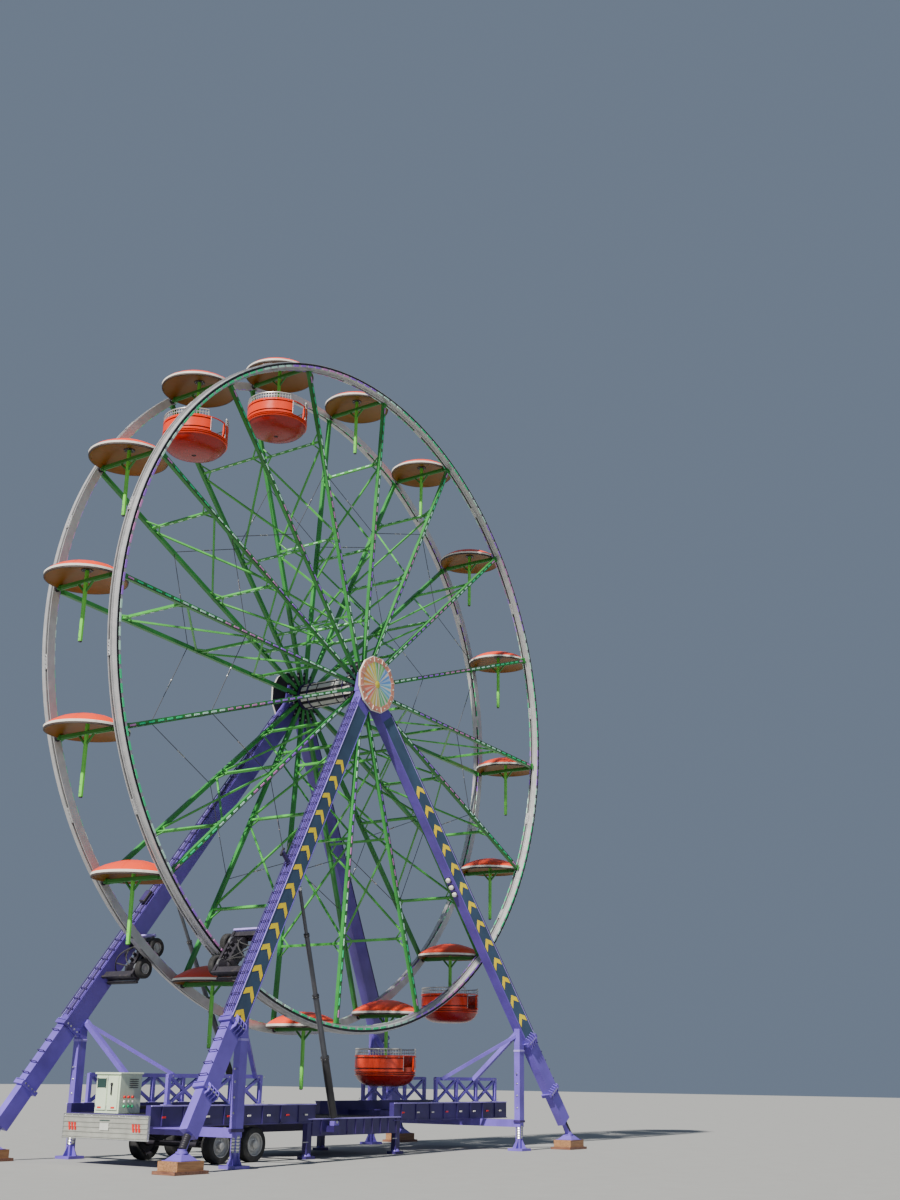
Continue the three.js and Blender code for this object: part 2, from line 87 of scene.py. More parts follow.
class Finish:
    """A node material that is built up step by step."""

    def __init__(self, name):
        self.material = bpy.data.materials.new(name)
        self.material.use_nodes = True
        self.tree = self.material.node_tree
        self.shader = self.tree.nodes["Principled BSDF"]
        self.place = self.node("ShaderNodeTexCoord").outputs["Object"]

    def node(self, kind, **values):
        made = self.tree.nodes.new(kind)
        for key, value in values.items():
            if hasattr(made, key):
                setattr(made, key, value)
            else:
                made.inputs[key].default_value = value
        return made

    def link(self, start, end):
        self.tree.links.new(start, end)

    def noise(self, scale, detail=4.0, stretch=(1, 1, 1), rough=0.55):
        mapping = self.node("ShaderNodeMapping")
        mapping.inputs["Scale"].default_value = stretch
        self.link(self.place, mapping.inputs["Vector"])
        texture = self.node("ShaderNodeTexNoise", Scale=scale, Detail=detail, Roughness=rough)
        self.link(mapping.outputs["Vector"], texture.inputs["Vector"])
        return texture.outputs["Fac"]

    def ramp(self, factor, *stops):
        ramp = self.node("ShaderNodeValToRGB")
        elements = ramp.color_ramp.elements
        while len(elements) < len(stops):
            elements.new(0.5)
        for element, (position, color) in zip(elements, stops):
            element.position = position
            element.color = color
        self.link(factor, ramp.inputs["Fac"])
        return ramp.outputs["Color"]

    def tones(self, factor, color, *stops):
        """Shades of one colour, given as (position, brightness) pairs."""
        return self.ramp(factor, *((position, shade(color, amount)) for position, amount in stops))

    def mix(self, factor, first, second):
        mix = self.node("ShaderNodeMix", data_type="RGBA")
        self.link(factor, mix.inputs["Factor"])
        for socket, value in ((mix.inputs["A"], first), (mix.inputs["B"], second)):
            if isinstance(value, tuple):
                socket.default_value = value
            else:
                self.link(value, socket)
        return mix.outputs["Result"]

    def stain(self, base, texture, start, end, amount, color):
        """Lays a stain over the base where the texture is strong."""
        cover = self.ramp(texture, (start, (0, 0, 0, 1)), (end, (amount, amount, amount, 1)))
        return self.mix(cover, base, color + (1.0,))

    def threshold(self, axis, limit, absolute=False):
        """1 where the coordinate is above the limit, otherwise 0."""
        split = self.node("ShaderNodeSeparateXYZ")
        self.link(self.place, split.inputs["Vector"])
        value = split.outputs[axis]
        if absolute:
            size = self.node("ShaderNodeMath", operation="ABSOLUTE")
            self.link(value, size.inputs[0])
            value = size.outputs[0]
        above = self.node("ShaderNodeMath", operation="GREATER_THAN")
        self.link(value, above.inputs[0])
        above.inputs[1].default_value = limit
        return above.outputs[0]

    def surface(self, color, rough, metal, grain, depth):
        """Puts the colour on the shader, with uneven gloss and a fine relief."""
        self.link(color, self.shader.inputs["Base Color"])
        self.shader.inputs["Metallic"].default_value = metal
        spread = self.node("ShaderNodeMapRange")
        self.link(self.noise(grain * 0.2, 3.0), spread.inputs["Value"])
        spread.inputs["To Min"].default_value = max(0.05, rough - 0.07)
        spread.inputs["To Max"].default_value = min(1.0, rough + 0.08)
        self.link(spread.outputs["Result"], self.shader.inputs["Roughness"])
        bump = self.node("ShaderNodeBump", Strength=depth, Distance=0.004)
        self.link(self.noise(grain, 5.0), bump.inputs["Height"])
        self.link(bump.outputs["Normal"], self.shader.inputs["Normal"])
        return self.material


DOWNWARD = (2.2, 2.2, 0.35)
WOOD_GRAIN = (0.6, 9.0, 9.0)
PAINT_GRAIN = 45.0
GRIME, RUST = (0.10, 0.085, 0.07), (0.30, 0.21, 0.14)


def paint(name, color, rough=0.38, fade=0.18, dirt=0.3, depth=0.12):
    """Gloss paint that has faded in patches, with grime that runs down it."""
    finish = Finish(name)
    base = finish.tones(finish.noise(1.7), color, (0.3, 1 - fade), (0.5, 1), (0.72, 1 + fade))
    coat = finish.stain(base, finish.noise(3.2, 6.0, DOWNWARD, 0.62), 0.56, 0.74, dirt, GRIME)
    return finish.surface(coat, rough, 0.0, PAINT_GRAIN, depth)


def metal(name, color, rough=0.42, streak=0.35, metallic=0.8):
    """Weathered steel or aluminium with pale bloom and rusty runs."""
    finish = Finish(name)
    base = finish.tones(finish.noise(5.0, 6.0), color, (0.28, 0.86), (0.5, 1), (0.75, 1.14))
    coat = finish.stain(base, finish.noise(2.6, 6.0, (1.6, 1.6, 0.6), 0.65), 0.58, 0.80, streak, RUST)
    return finish.surface(coat, rough, metallic, 70.0, 0.15)


def rubber(name, color):
    """Dull rubber with pale dust on it."""
    finish = Finish(name)
    dust = (0.8, (0.11, 0.10, 0.085, 1))
    base = finish.ramp(finish.noise(6.0, 5.0), (0.35, shade(color, 0.8)), (0.6, shade(color, 1.5)), dust)
    return finish.surface(base, 0.85, 0.0, 90.0, 0.3)


def timber(name, color):
    finish = Finish(name)
    base = finish.tones(finish.noise(4.0, 6.0, WOOD_GRAIN, 0.6), color, (0.3, 0.55), (0.5, 1), (0.7, 1.35))
    return finish.surface(base, 0.8, 0.0, 40.0, 0.4)


def two_tone(name, low, high, axis, limit, absolute=False):
    """Paint that is one colour below the limit on an axis and another above it."""
    finish = Finish(name)
    coats = [finish.tones(finish.noise(1.9, 5.0), color, (0.3, 0.75), (0.52, 1), (0.75, 1.25))
             for color in (low, high)]
    coat = finish.mix(finish.threshold(axis, limit, absolute), *coats)
    return finish.surface(coat, 0.38, 0.0, PAINT_GRAIN, 0.12)


PURPLE = (0.150, 0.100, 0.49)
# The darker purple above the hinge is painted shade on the upper legs.
PURPLE_UPPER_SHADE = (0.108, 0.068, 0.37)
# The trailer's dark purple is the tower purple darkened as painted shade, for the frame below the beam tops
# and its trim.
TRAILER_SHADE_PURPLE = (0.036, 0.023, 0.130)
SPOKE_GREEN, BRACE_GREEN = (0.030, 0.23, 0.042), (0.060, 0.36, 0.052)


def leg_finish():
    """Leg paint, darker above the hinge as painted shade, with the timber packing and its board below the
    foot.
    """
    finish = Finish("leg_paint_shade_and_packing")
    patches = finish.noise(1.4, 5.0)
    low, high = (finish.tones(patches, color, (0.3, 0.78), (0.52, 1), (0.74, 1.25))
                 for color in (PURPLE, PURPLE_UPPER_SHADE))
    # Above the hinge the coat is the darker purple, as painted shade.
    coat = finish.mix(finish.threshold("Z", HUB.z - LEG_DROP * LEG_HINGE), low, high)
    coat = finish.stain(coat, finish.noise(3.2, 6.0, DOWNWARD, 0.62), 0.58, 0.78, 0.16, (0.06, 0.045, 0.09))
    wood = finish.ramp(finish.noise(4.0, 6.0, WOOD_GRAIN, 0.6), (0.3, (0.16, 0.07, 0.03, 1)),
                       (0.5, (0.30, 0.15, 0.065, 1)), (0.7, (0.42, 0.22, 0.10, 1)))
    board = finish.ramp(finish.noise(5.0, 5.0, (6.0, 0.8, 6.0)), (0.35, (0.10, 0.04, 0.03, 1)),
                        (0.65, (0.24, 0.11, 0.065, 1)))
    ground = finish.mix(finish.threshold("Z", BOARD_TOP), board, wood)
    coat = finish.mix(finish.threshold("Z", PACKING_TOP), ground, coat)
    return finish.surface(coat, 0.4, 0.0, PAINT_GRAIN, 0.14)


# After the colour, a paint has its roughness, fading, grime and relief, and a metal its roughness,
# rust and metallic part.
purple = paint("tower_paint", PURPLE, 0.36, 0.2, 0.28)
purple_dark = paint("shaded_paint", (0.036, 0.022, 0.105), 0.42, 0.25)
lilac_trim_and_highlight = paint("pale_trim_and_highlight_paint", (0.34, 0.28, 0.70), 0.4, 0.15)
slate = paint("stripe_ground", (0.040, 0.075, 0.135), 0.45, 0.2)
yellow = paint("stripe_yellow", (1.0, 0.72, 0.012), 0.45, 0.12, 0.2)
green = paint("spoke_paint", SPOKE_GREEN, 0.34, 0.3)
green_pale = paint("brace_paint", BRACE_GREEN, 0.36, 0.25)
post_green = paint("post_paint", (0.16, 0.62, 0.070), 0.36, 0.15, 0.15)
# The beam paint is the post's green darkened as painted shade, for the beams, blocks and knees under the
# canopies.
beam_shade_green = paint("beam_painted_shade", (0.030, 0.20, 0.030), 0.36, 0.15, 0.15)
orange = paint("canopy_gel_coat", (0.84, 0.062, 0.014), 0.42, 0.06, 0.06, 0.02)
tub_orange = paint("tub_gel_coat", (0.72, 0.045, 0.009), 0.28, 0.06, 0.08, 0.02)
# The bowl's red is the tub's orange gel coat darkened as painted shade.
bowl_shade_red = paint("bowl_gel_coat_painted_shade", (0.30, 0.009, 0.006), 0.28, 0.06, 0.12, 0.02)
# The groove red is painted shade in the tub's recessed bands.
tub_groove_shade = paint("tub_groove_shade", (0.22, 0.010, 0.006), 0.45, 0.1, 0.2)
white = paint("pale_edge_paint", (0.74, 0.72, 0.66), 0.4, 0.1, 0.35)
brown = paint("canopy_underside", (0.20, 0.086, 0.007), 0.40, 0.14, 0.25)
dark_line = paint("edge_band", (0.05, 0.035, 0.03), 0.6, 0.2)
# The trailer trim paint is the dark purple of painted shade.
trailer_shaded_paint = paint("trailer_shaded_paint", TRAILER_SHADE_PURPLE, 0.40, 0.22, 0.4)
steel = metal("rim_galvanised", (0.50, 0.50, 0.51), 0.36, 0.30, 0.45)
# Dark steel, used also as painted shade on the floors of the rim grooves.
dark_steel_and_groove_shade = metal("groove_shade_and_dark_steel", (0.06, 0.06, 0.065), 0.55, 0.4, 0.5)
bright = metal("bare_fastener", (0.55, 0.56, 0.57), 0.32, 0.2, 0.9)
ram_grey = metal("ram_stage", (0.085, 0.09, 0.105), 0.34, 0.2, 0.5)
# Near-black paint, also used as painted shade in the opening under the tub's bowl.
ram_black_and_hole_shade = paint("ram_barrel_and_hole_shade", (0.022, 0.022, 0.026), 0.4, 0.3)
machine = paint("machine_dark", (0.016, 0.014, 0.022), 0.5, 0.3, 0.4)
aluminium = metal("tail_board_alloy", (0.44, 0.45, 0.41), 0.48, 0.3, 0.5)
panel = paint("drum_panel", (0.52, 0.53, 0.50), 0.5, 0.15, 0.45)
cabinet = paint("cabinet_enamel", (0.56, 0.67, 0.50), 0.42, 0.08, 0.2)
screen = paint("window_dark", (0.02, 0.05, 0.045), 0.15, 0.1, 0.1)
red_lens = paint("red_lens", (0.62, 0.02, 0.015), 0.18, 0.1, 0.15)
rail_grey = metal("rail_alloy", (0.46, 0.46, 0.45), 0.4, 0.2, 0.4)
seat = paint("bench_moulding", (0.30, 0.04, 0.025), 0.5, 0.15)
black_rubber = rubber("tyre_rubber", (0.022, 0.022, 0.023))
hose = rubber("cable_sheath", (0.03, 0.03, 0.032))
block_wood = timber("packing_timber", (0.30, 0.15, 0.065))
border_paint = paint("sign_border", (0.74, 0.30, 0.20), 0.4, 0.1, 0.2)
lamps = {
    "green": paint("lamp_green", (0.03, 0.66, 0.26), 0.25, 0.1, 0.1),
    "white": paint("lamp_white", (0.50, 0.82, 0.68), 0.25, 0.08, 0.1),
    "pink": paint("lamp_pink", (0.62, 0.24, 0.56), 0.25, 0.1, 0.1),
    "violet": paint("lamp_violet", (0.36, 0.15, 0.74), 0.25, 0.1, 0.1),
}


def sign_paints(stem, *colors):
    return [paint("%s_%02d" % (stem, i), color, 0.35, 0.08, 0.15)
            for i, color in enumerate(colors)]


sectors = sign_paints(
    "sector", (0.14, 0.34, 0.74), (0.20, 0.56, 0.16), (0.80, 0.66, 0.06), (0.80, 0.36, 0.08),
    (0.80, 0.20, 0.12), (0.66, 0.50, 0.10), (0.14, 0.50, 0.20), (0.16, 0.46, 0.70))
tints = sign_paints(
    "tint", (0.36, 0.54, 0.80), (0.44, 0.70, 0.40), (0.84, 0.76, 0.34), (0.84, 0.56, 0.34),
    (0.84, 0.44, 0.36), (0.76, 0.66, 0.36), (0.40, 0.66, 0.46), (0.42, 0.64, 0.78))


# Directions and places.

def level_way(a):
    """The direction at an angle round the vertical."""
    return Vector((cos(a), sin(a), 0))


def wheel_way(a):
    """The direction at an angle in the wheel's plane."""
    return Vector((cos(a), 0, sin(a)))


def wheel_tangent(a):
    return Vector((-sin(a), 0, cos(a)))


def radial(a, r, y):
    """A point of the wheel: its angle, its distance from the axis and its place along it."""
    return HUB + Vector((r * cos(a), y, r * sin(a)))


def spread(start, end, count):
    """Values at even steps from start to end, both included."""
    return [start + (end - start) * i / (count - 1) for i in range(count)]


def tag(k):
    return "%02d" % k


def angle_of(k):
    return FIRST_ANGLE - tau * k / CABINS


# Mesh tools.

class Form:
    """Faces gathered into one mesh, each with its own material."""

    def __init__(self):
        self.mesh = bmesh.new()
        self.materials = []

    def index(self, material):
        if material not in self.materials:
            self.materials.append(material)
        return self.materials.index(material)

    def rings(self, rings, material, closed=False, capped=True, wrap=True):
        """Skins rings of points and returns their vertices. A material may be a list, one for each side."""
        made = [[self.mesh.verts.new(point) for point in ring] for ring in rings]
        count = len(rings[0])
        coats = material if isinstance(material, list) else [material] * count
        spans = list(zip(made, made[1:])) + ([(made[-1], made[0])] if closed else [])
        for first, second in spans:
            for i in range(count if wrap else count - 1):
                j = (i + 1) % count
                face = self.mesh.faces.new((first[i], first[j], second[j], second[i]))
                face.material_index = self.index(coats[i])
        if capped and not closed:
            for ring, turn in ((made[0], -1), (made[-1], 1)):
                self.mesh.faces.new(ring[::turn]).material_index = self.index(coats[0])
        return made

    def bar(self, start, end, wide, thick, side, material, chamfer=None):
        """A box section with small chamfers, wide along the side vector."""
        start, end = Vector(start), Vector(end)
        along = (end - start).normalized()
        third = along.cross(side).normalized()
        across = third.cross(along).normalized()
        cut = min(wide, thick) * 0.12 if chamfer is None else chamfer
        a, b = wide / 2, thick / 2
        outline = ((a, b - cut), (a - cut, b), (cut - a, b), (-a, b - cut),
                   (-a, cut - b), (cut - a, -b), (a - cut, -b), (a, cut - b))
        self.rings([[p + across * u + third * v for u, v in outline] for p in (start, end)], material)

    def bar_at(self, middle, reach, *values):
        """A bar that reaches as far both ways from its middle."""
        self.bar(middle - reach, middle + reach, *values)

    def box(self, first, second, material, chamfer=None):
        """A chamfered box between two opposite corners."""
        low = Vector([min(pair) for pair in zip(first, second)])
        high = Vector([max(pair) for pair in zip(first, second)])
        middle, size = (low + high) / 2, high - low
        start, end = (Vector((x, middle.y, middle.z)) for x in (low.x, high.x))
        self.bar(start, end, size.y, size.z, Y, material, chamfer)

    def box_at(self, middle, reach, *values):
        """A box that reaches as far both ways from its middle on each axis."""
        middle, reach = Vector(middle), Vector(reach)
        self.box(middle - reach, middle + reach, *values)

    def rod(self, points, radius, material, sides=12):
        """A round bar or cable through the points. The radius may be a list, one for each point."""
        points = [Vector(p) for p in points]
        radii = radius if isinstance(radius, list) else [radius] * len(points)
        rings = []
        normal = None
        for i, (point, r) in enumerate(zip(points, radii)):
            along = points[min(i + 1, len(points) - 1)] - points[max(i - 1, 0)]
            along.normalize()
            if normal is None:
                normal = along.orthogonal().normalized()
            normal = (normal - along * normal.dot(along)).normalized()
            other = along.cross(normal)
            rings.append([point + (normal * cos(a) + other * sin(a)) * r
                          for a in (tau * j / sides for j in range(sides))])
        self.rings(rings, material)

    def rod_at(self, middle, reach, *values):
        self.rod([middle - reach, middle + reach], *values)

    def screw(self, start, end, turns, crest, root, material):
        """A coarse screw whose thread is drawn as ridges."""
        start, end = Vector(start), Vector(end)
        points = [start.lerp(end, i / turns) for i in range(turns + 1)]
        self.rod(points, [root if i % 2 else crest for i in range(turns + 1)], material, 16)

    def turn(self, profile, material, centre=(0, 0, 0), axis=Z, sides=32, span=(0.0, tau), zero=None,
             closed=False, flip=1):
        """A profile of (radius, height) points turned about an axis.

        closed joins its last point to its first, and a flip of -1 mirrors the heights.
        """
        centre, axis = Vector(centre), Vector(axis).normalized()
        zero = axis.orthogonal().normalized() if zero is None else Vector(zero).normalized()
        other = axis.cross(zero)
        full = span[1] - span[0] > tau - 1e-6
        rings = []
        for i in range(sides if full else sides + 1):
            a = span[0] + (span[1] - span[0]) * i / sides
            out = zero * cos(a) + other * sin(a)
            rings.append([centre + out * r + axis * (flip * h) for r, h in profile])
        made = self.rings(rings, material, closed=full, capped=closed, wrap=closed)
        for i, (r, _) in enumerate(profile):
            if r == 0.0:
                bmesh.ops.remove_doubles(self.mesh, verts=[ring[i] for ring in made], dist=1e-5)

    def hoop(self, radii, heights, *values, **options):
        """A ring of rectangular section, turned with the same values as a profile."""
        (r0, r1), (h0, h1) = radii, heights
        self.turn([(r0, h0), (r1, h0), (r1, h1), (r0, h1)], *values, closed=True, **options)

    def plate(self, outline, normal, thick, material):
        """A flat outline of points thickened along its normal."""
        shift = Vector(normal).normalized() * thick
        points = [Vector(p) for p in outline]
        self.rings([points, [p + shift for p in points]], material)

    def bolt(self, at, normal, radius, height=None):
        at, normal = Vector(at), Vector(normal).normalized()
        height = radius * 0.9 if height is None else height
        washer = at + normal * height * 0.25
        self.rod([at, washer], radius * 1.35, bright, 10)
        self.rod([washer, at + normal * height], radius, bright, 6)

    def bolt_circle(self, centre, y, facing, ring, count, radius, shift=0.0, height=None):
        """Bolts round an axis along Y, facing one way along it."""
        for i in range(count):
            a = tau * (i + shift) / count
            at = centre + Vector((ring * cos(a), y, ring * sin(a)))
            self.bolt(at, Y * facing, radius, height)

    def finish(self, name, body, slot, place=None, weld=True):
        """Makes the object and rides it on its body. The slot is not used."""
        if weld:
            bmesh.ops.remove_doubles(self.mesh, verts=self.mesh.verts[:], dist=1e-5)
        bmesh.ops.recalc_face_normals(self.mesh, faces=self.mesh.faces[:])
        data = bpy.data.meshes.new(name)
        self.mesh.to_mesh(data)
        self.mesh.free()
        for material in self.materials:
            data.materials.append(material)
        data.shade_smooth()
        data.set_sharp_from_angle(angle=radians(32))
        return put(name, data, body, place)


def add(name, data):
    """Puts a mesh, a light or a camera in the scene."""
    made = bpy.data.objects.new(name, data)
    bpy.context.scene.collection.objects.link(made)
    return made


def put(name, data, body, place=None):
    piece = add(name, data)
    if place is not None:
        piece.matrix_world = place
    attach(piece, body)
    return piece


def repeat(form, stem, slot, seats):
    """One mesh at each seat, which is a number, a body and a place. Returns the pieces by number."""
    (first, body, place), *others = seats
    made = {first: form.finish(stem + tag(first), body, slot, place)}
    for k, body, place in others:
        made[k] = put(stem + tag(k), made[first].data, body, place)
    return made


def dress(material, *nodes):
    for node in nodes:
        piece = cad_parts[node]
        piece.data.materials.clear()
        piece.data.materials.append(material)


# Rims: a channel with bright lips and grooves whose floors are darkened as painted shade, splice plates and
# bearing housings.
RIM_SEGMENTS = 192
LIP, INNER_LIP, GROOVE, SLOPE = 0.014, 0.052, 0.028, 0.004
EDGE, BEND = 0.020, 0.024
BOSS_R, BOSS_END = 0.078, 0.925
SPLICE_THICK, SPLICE_HALF = 0.012, 0.17


def rim_channel(sy):
    form = Form()
    # The groove floors and the track groove are in dark steel, as painted shade.
    outline = [
        (RIM_IN, RIM_Y0, steel), (RIM_OUT, RIM_Y0, steel),
        (RIM_OUT, RIM_Y0 + EDGE, steel), (RIM_OUT - GROOVE, RIM_Y0 + BEND, dark_steel_and_groove_shade),
        (RIM_OUT - GROOVE, RIM_Y1 - BEND, steel), (RIM_OUT, RIM_Y1 - EDGE, steel),
        (RIM_OUT, RIM_Y1, steel), (TRACK_OUT, RIM_Y1, steel), (TRACK_OUT, TRACK_Y1, steel),
        (TRACK_OUT - LIP, TRACK_Y1, dark_steel_and_groove_shade), (TRACK_OUT - LIP - SLOPE, TRACK_Y1 - GROOVE, dark_steel_and_groove_shade),
        (TRACK_IN + INNER_LIP + SLOPE, TRACK_Y1 - GROOVE, dark_steel_and_groove_shade),
        (TRACK_IN + INNER_LIP, TRACK_Y1, steel), (TRACK_IN, TRACK_Y1, steel),
        (TRACK_IN, RIM_Y1, steel), (RIM_IN, RIM_Y1, steel),
        (RIM_IN, RIM_Y1 - EDGE, steel), (RIM_IN + GROOVE, RIM_Y1 - BEND, dark_steel_and_groove_shade),
        (RIM_IN + GROOVE, RIM_Y0 + BEND, steel), (RIM_IN, RIM_Y0 + EDGE, steel),
    ]
    profile, coats = [(r, y) for r, y, _ in outline], [coat for _, _, coat in outline]
    form.turn(profile, coats, HUB, Y, RIM_SEGMENTS, zero=X, closed=True, flip=sy)
    boss = [(0.0, BOSS_END), (BOSS_R - 0.008, BOSS_END), (BOSS_R, BOSS_END + 0.007), (BOSS_R, RIM_Y0)]
    for k in range(CABINS):
        form.turn(boss, machine, radial(angle_of(k), PIVOT_R, 0), Y, 20, flip=sy)
        joint = angle_of(k + 0.5)
        along = wheel_tangent(joint)
        for r, out in ((RIM_OUT, wheel_way(joint)), (RIM_IN, -wheel_way(joint))):
            face = radial(joint, r, sy * SPOKE_Y) + out * SPLICE_THICK
            form.bar_at(face - out * SPLICE_THICK / 2, along * SPLICE_HALF, 0.085, SPLICE_THICK, Y, steel)
            for step in (-0.13, -0.05, 0.05, 0.13):
                form.bolt(face + along * step, out, 0.014)
    return form


# Small lamps in dashes on the inner lip of each rim's track and on its inner face.
RIM_LAMP_COLORS = ("green", "green", "white", "violet", "pink", "violet", "white", "green")
RIM_LAMPS, RIM_LAMP_RUN = CABINS * 11, 4


def rim_lamps(sy):
    form = Form()
    for i in range(RIM_LAMPS):
        a = tau * (i + 0.5) / RIM_LAMPS
        along = wheel_tangent(a)
        tone = lamps[RIM_LAMP_COLORS[i // RIM_LAMP_RUN % len(RIM_LAMP_COLORS)]]
        on_track = radial(a, TRACK_IN + INNER_LIP / 2, sy * (TRACK_Y1 + 0.004))
        form.bar_at(on_track, along * 0.10, 0.048, 0.008, wheel_way(a), tone)
        on_edge = radial(a, RIM_IN - 0.003, sy * (RIM_Y0 + 0.010))
        form.bar_at(on_edge, along * 0.085, 0.022, 0.010, Y, tone)
    return form


for side_name, sy in SIDES:
    rim = rim_channel(sy).finish(side_name + "_rim_channel", "wheel", "rim_steel")
    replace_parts(rim, side_name + "_rim")
    rim_lamps(sy).finish(side_name + "_rim_lamps", "wheel", "rim_steel")


# Spoke trim, made along +X: knees, end plates, lamps and root forks.
SPOKE_LAMP_COLORS = ("white", "violet", "pink", "white", "green", "pink")
SPOKE_LAMPS, SPOKE_LAMP_RUN, SPOKE_LAMP_STEP, SPOKE_LAMP_LONG = 26, 5, 0.281, 0.17
SPOKE_TIP = RIM_IN - 0.012
BRACE_Y1 = 0.945


def spoke_side(form, sy):
    """The trim of one spoke of the pair."""
    y, inner, outer = sy * SPOKE_Y, sy * (SPOKE_Y - SPOKE_HALF), sy * (SPOKE_Y + SPOKE_HALF)
    for r in STRUT_RADII:
        for reach in (-0.24, 0.24):
            form.bar((r + reach, inner + sy * 0.01, 0), (r, sy * 0.72, 0), 0.035, 0.03, Z, green_pale)
        form.box_at((r, y, 0), (0.09, SPOKE_HALF + 0.004, 0.052), green, 0.004)
        for shift in (-0.055, 0.055):
            form.bolt((r + shift, outer + sy * 0.004, 0), Y * sy, 0.012)
    form.box((SPOKE_TIP - 0.015, y - SPOKE_HALF - 0.03, -0.085), (SPOKE_TIP, y + SPOKE_HALF + 0.002, 0.085),
             green, 0.003)
    for up in (-1, 1):
        form.bar((SPOKE_TIP - 0.005, y, up * 0.063), (SPOKE_TIP - 0.24, y, up * 0.0434), 0.07, 0.01, Y, green)
        form.bar((FLANGE_R + 0.02, y, up * 0.056), (FLANGE_R + 0.34, y, up * 0.056), 0.08, 0.014, Y, machine)
        for reach in (0.10, 0.26):
            form.bolt((FLANGE_R + reach, y, up * 0.063), Z * up, 0.018)
    for i in range(SPOKE_LAMPS):
        r = 1.15 + SPOKE_LAMP_STEP * i
        tone = lamps[SPOKE_LAMP_COLORS[i // SPOKE_LAMP_RUN % len(SPOKE_LAMP_COLORS)]]
        form.box((r, outer, -0.020), (r + SPOKE_LAMP_LONG, outer + sy * 0.012, 0.020), tone, 0.003)
    form.rod([(x, outer + sy * 0.004, 0.033) for x in (1.0, 8.35)], 0.008, hose, 6)


def spoke_trim():
    form = Form()
    for sy in (-1, 1):
        spoke_side(form, sy)
    for first, second in zip(STRUT_RADII, STRUT_RADII[1:]):
        form.box_at(((first + second) / 2, 0, 0), (0.05, 0.05, 0.026), green_pale, 0.008)
    for r in STRUT_RADII:
        for y in (-0.6, -0.3, 0.0, 0.3, 0.6):
            form.box_at((r, y, 0.034), (0.012, 0.07, 0.004), lamps["white"], 0.002)
    return form


def spoke_place(k):
    """Turns a piece made along +X at the origin onto spoke k."""
    return Matrix.Translation(HUB) @ Matrix.Rotation(-angle_of(k), 4, "Y")


repeat(spoke_trim(), "spoke_trim_", "spoke_green", [(k, "wheel", spoke_place(k)) for k in range(CABINS)])
spoke_coat = two_tone("spoke_and_brace_paint", BRACE_GREEN, SPOKE_GREEN, "Y", BRACE_Y1, absolute=True)
dress(spoke_coat, *("spoke_frame_" + tag(k) for k in range(CABINS)))

# Tie rods with turnbuckles that zigzag round the wheel between neighbouring spokes.
TIE_RADII, TIE_Y = (4.45, 5.75), SPOKE_Y - 0.03
ties = Form()
for sy in (-1, 1):
    for k in range(CABINS):
        start, end = (radial(angle_of(j), TIE_RADII[j % 2], sy * TIE_Y) for j in (k, k + 1))
        along = (end - start).normalized()
        aside = along.cross(Y).normalized()
        middle = start.lerp(end, 0.5)
        ties.rod([start, end], 0.009, dark_steel_and_groove_shade, 6)
        for side in (-1, 1):
            ties.rod_at(middle + aside * side * 0.012, along * 0.11, 0.006, bright, 6)
            ties.rod_at(middle + along * side * 0.115, along * 0.015, 0.02, bright, 8)
ties.finish("spoke_ties", "wheel", "spoke_green")

# Hub: dark flanges with bolt circles and pale panels round the drum.
PANEL_SPANS = ((-0.84, -0.32), (-0.27, 0.27), (0.32, 0.84))
hub = Form()
for i in range(8):
    out = wheel_way(FIRST_ANGLE + tau * (i + 0.5) / 8)
    at = HUB + out * (DRUM_R + 0.016)
    wide, tone = (0.13, panel) if i % 2 else (0.20, white)
    for y0, y1 in PANEL_SPANS:
        hub.bar(at + Y * y0, at + Y * y1, wide, 0.022, Y.cross(out), tone)
        for y in (y0 + 0.04, y1 - 0.04):
            hub.bolt(at + Y * y + out * 0.011, out, 0.01)
for sy in (-1, 1):
    hub.bolt_circle(HUB, sy * (FLANGE_Y1 + 0.0005), sy, 0.30, 24, 0.009, 0.5, 0.008)
    for y in (0.60, 0.90):
        hub.hoop((DRUM_R + 0.004, DRUM_R + 0.06), (y - 0.012, y + 0.012), purple_dark, HUB, Y, 48, flip=sy)
hub.finish("hub_panels", "wheel", "hub_grey")
dress(machine, "hub_drum")


# Cabins, made about their pivot: canopy, beam, knees and post.
CANOPY_RIBS = 12
UNDER_Z, PAD = 0.255, 0.014


def canopy_form():
    form = Form()
    dome = [(0.0, 0.402), (0.16, 0.392), (0.32, 0.364), (0.48, 0.320), (0.64, 0.262), (0.78, 0.187),
            (0.87, 0.125), (0.905, 0.092)]
    edge = [(0.905, 0.092), (0.915, 0.084), (0.915, 0.040), (0.911, 0.034), (0.911, 0.004), (0.905, 0.0),
            (0.885, 0.0)]
    hollow = [(0.885, 0.0), (0.872, 0.018), (0.84, 0.052), (0.70, 0.120), (0.50, 0.185), (0.30, 0.232),
              (0.13, UNDER_Z), (0.13, UNDER_Z - PAD), (0.0, UNDER_Z - PAD)]
    form.turn(dome, orange, sides=72)
    form.turn(edge, [white] * 2 + [dark_line] * 4, sides=72)
    form.turn(hollow, [brown] * 6 + [machine] * 2, sides=72)
    for i in range(CANOPY_RIBS):
        out = level_way(tau * i / CANOPY_RIBS)
        form.rod([out * r + Z * (h - 0.001) for r, h in dome[1:]], 0.005, orange, 6)
    return form


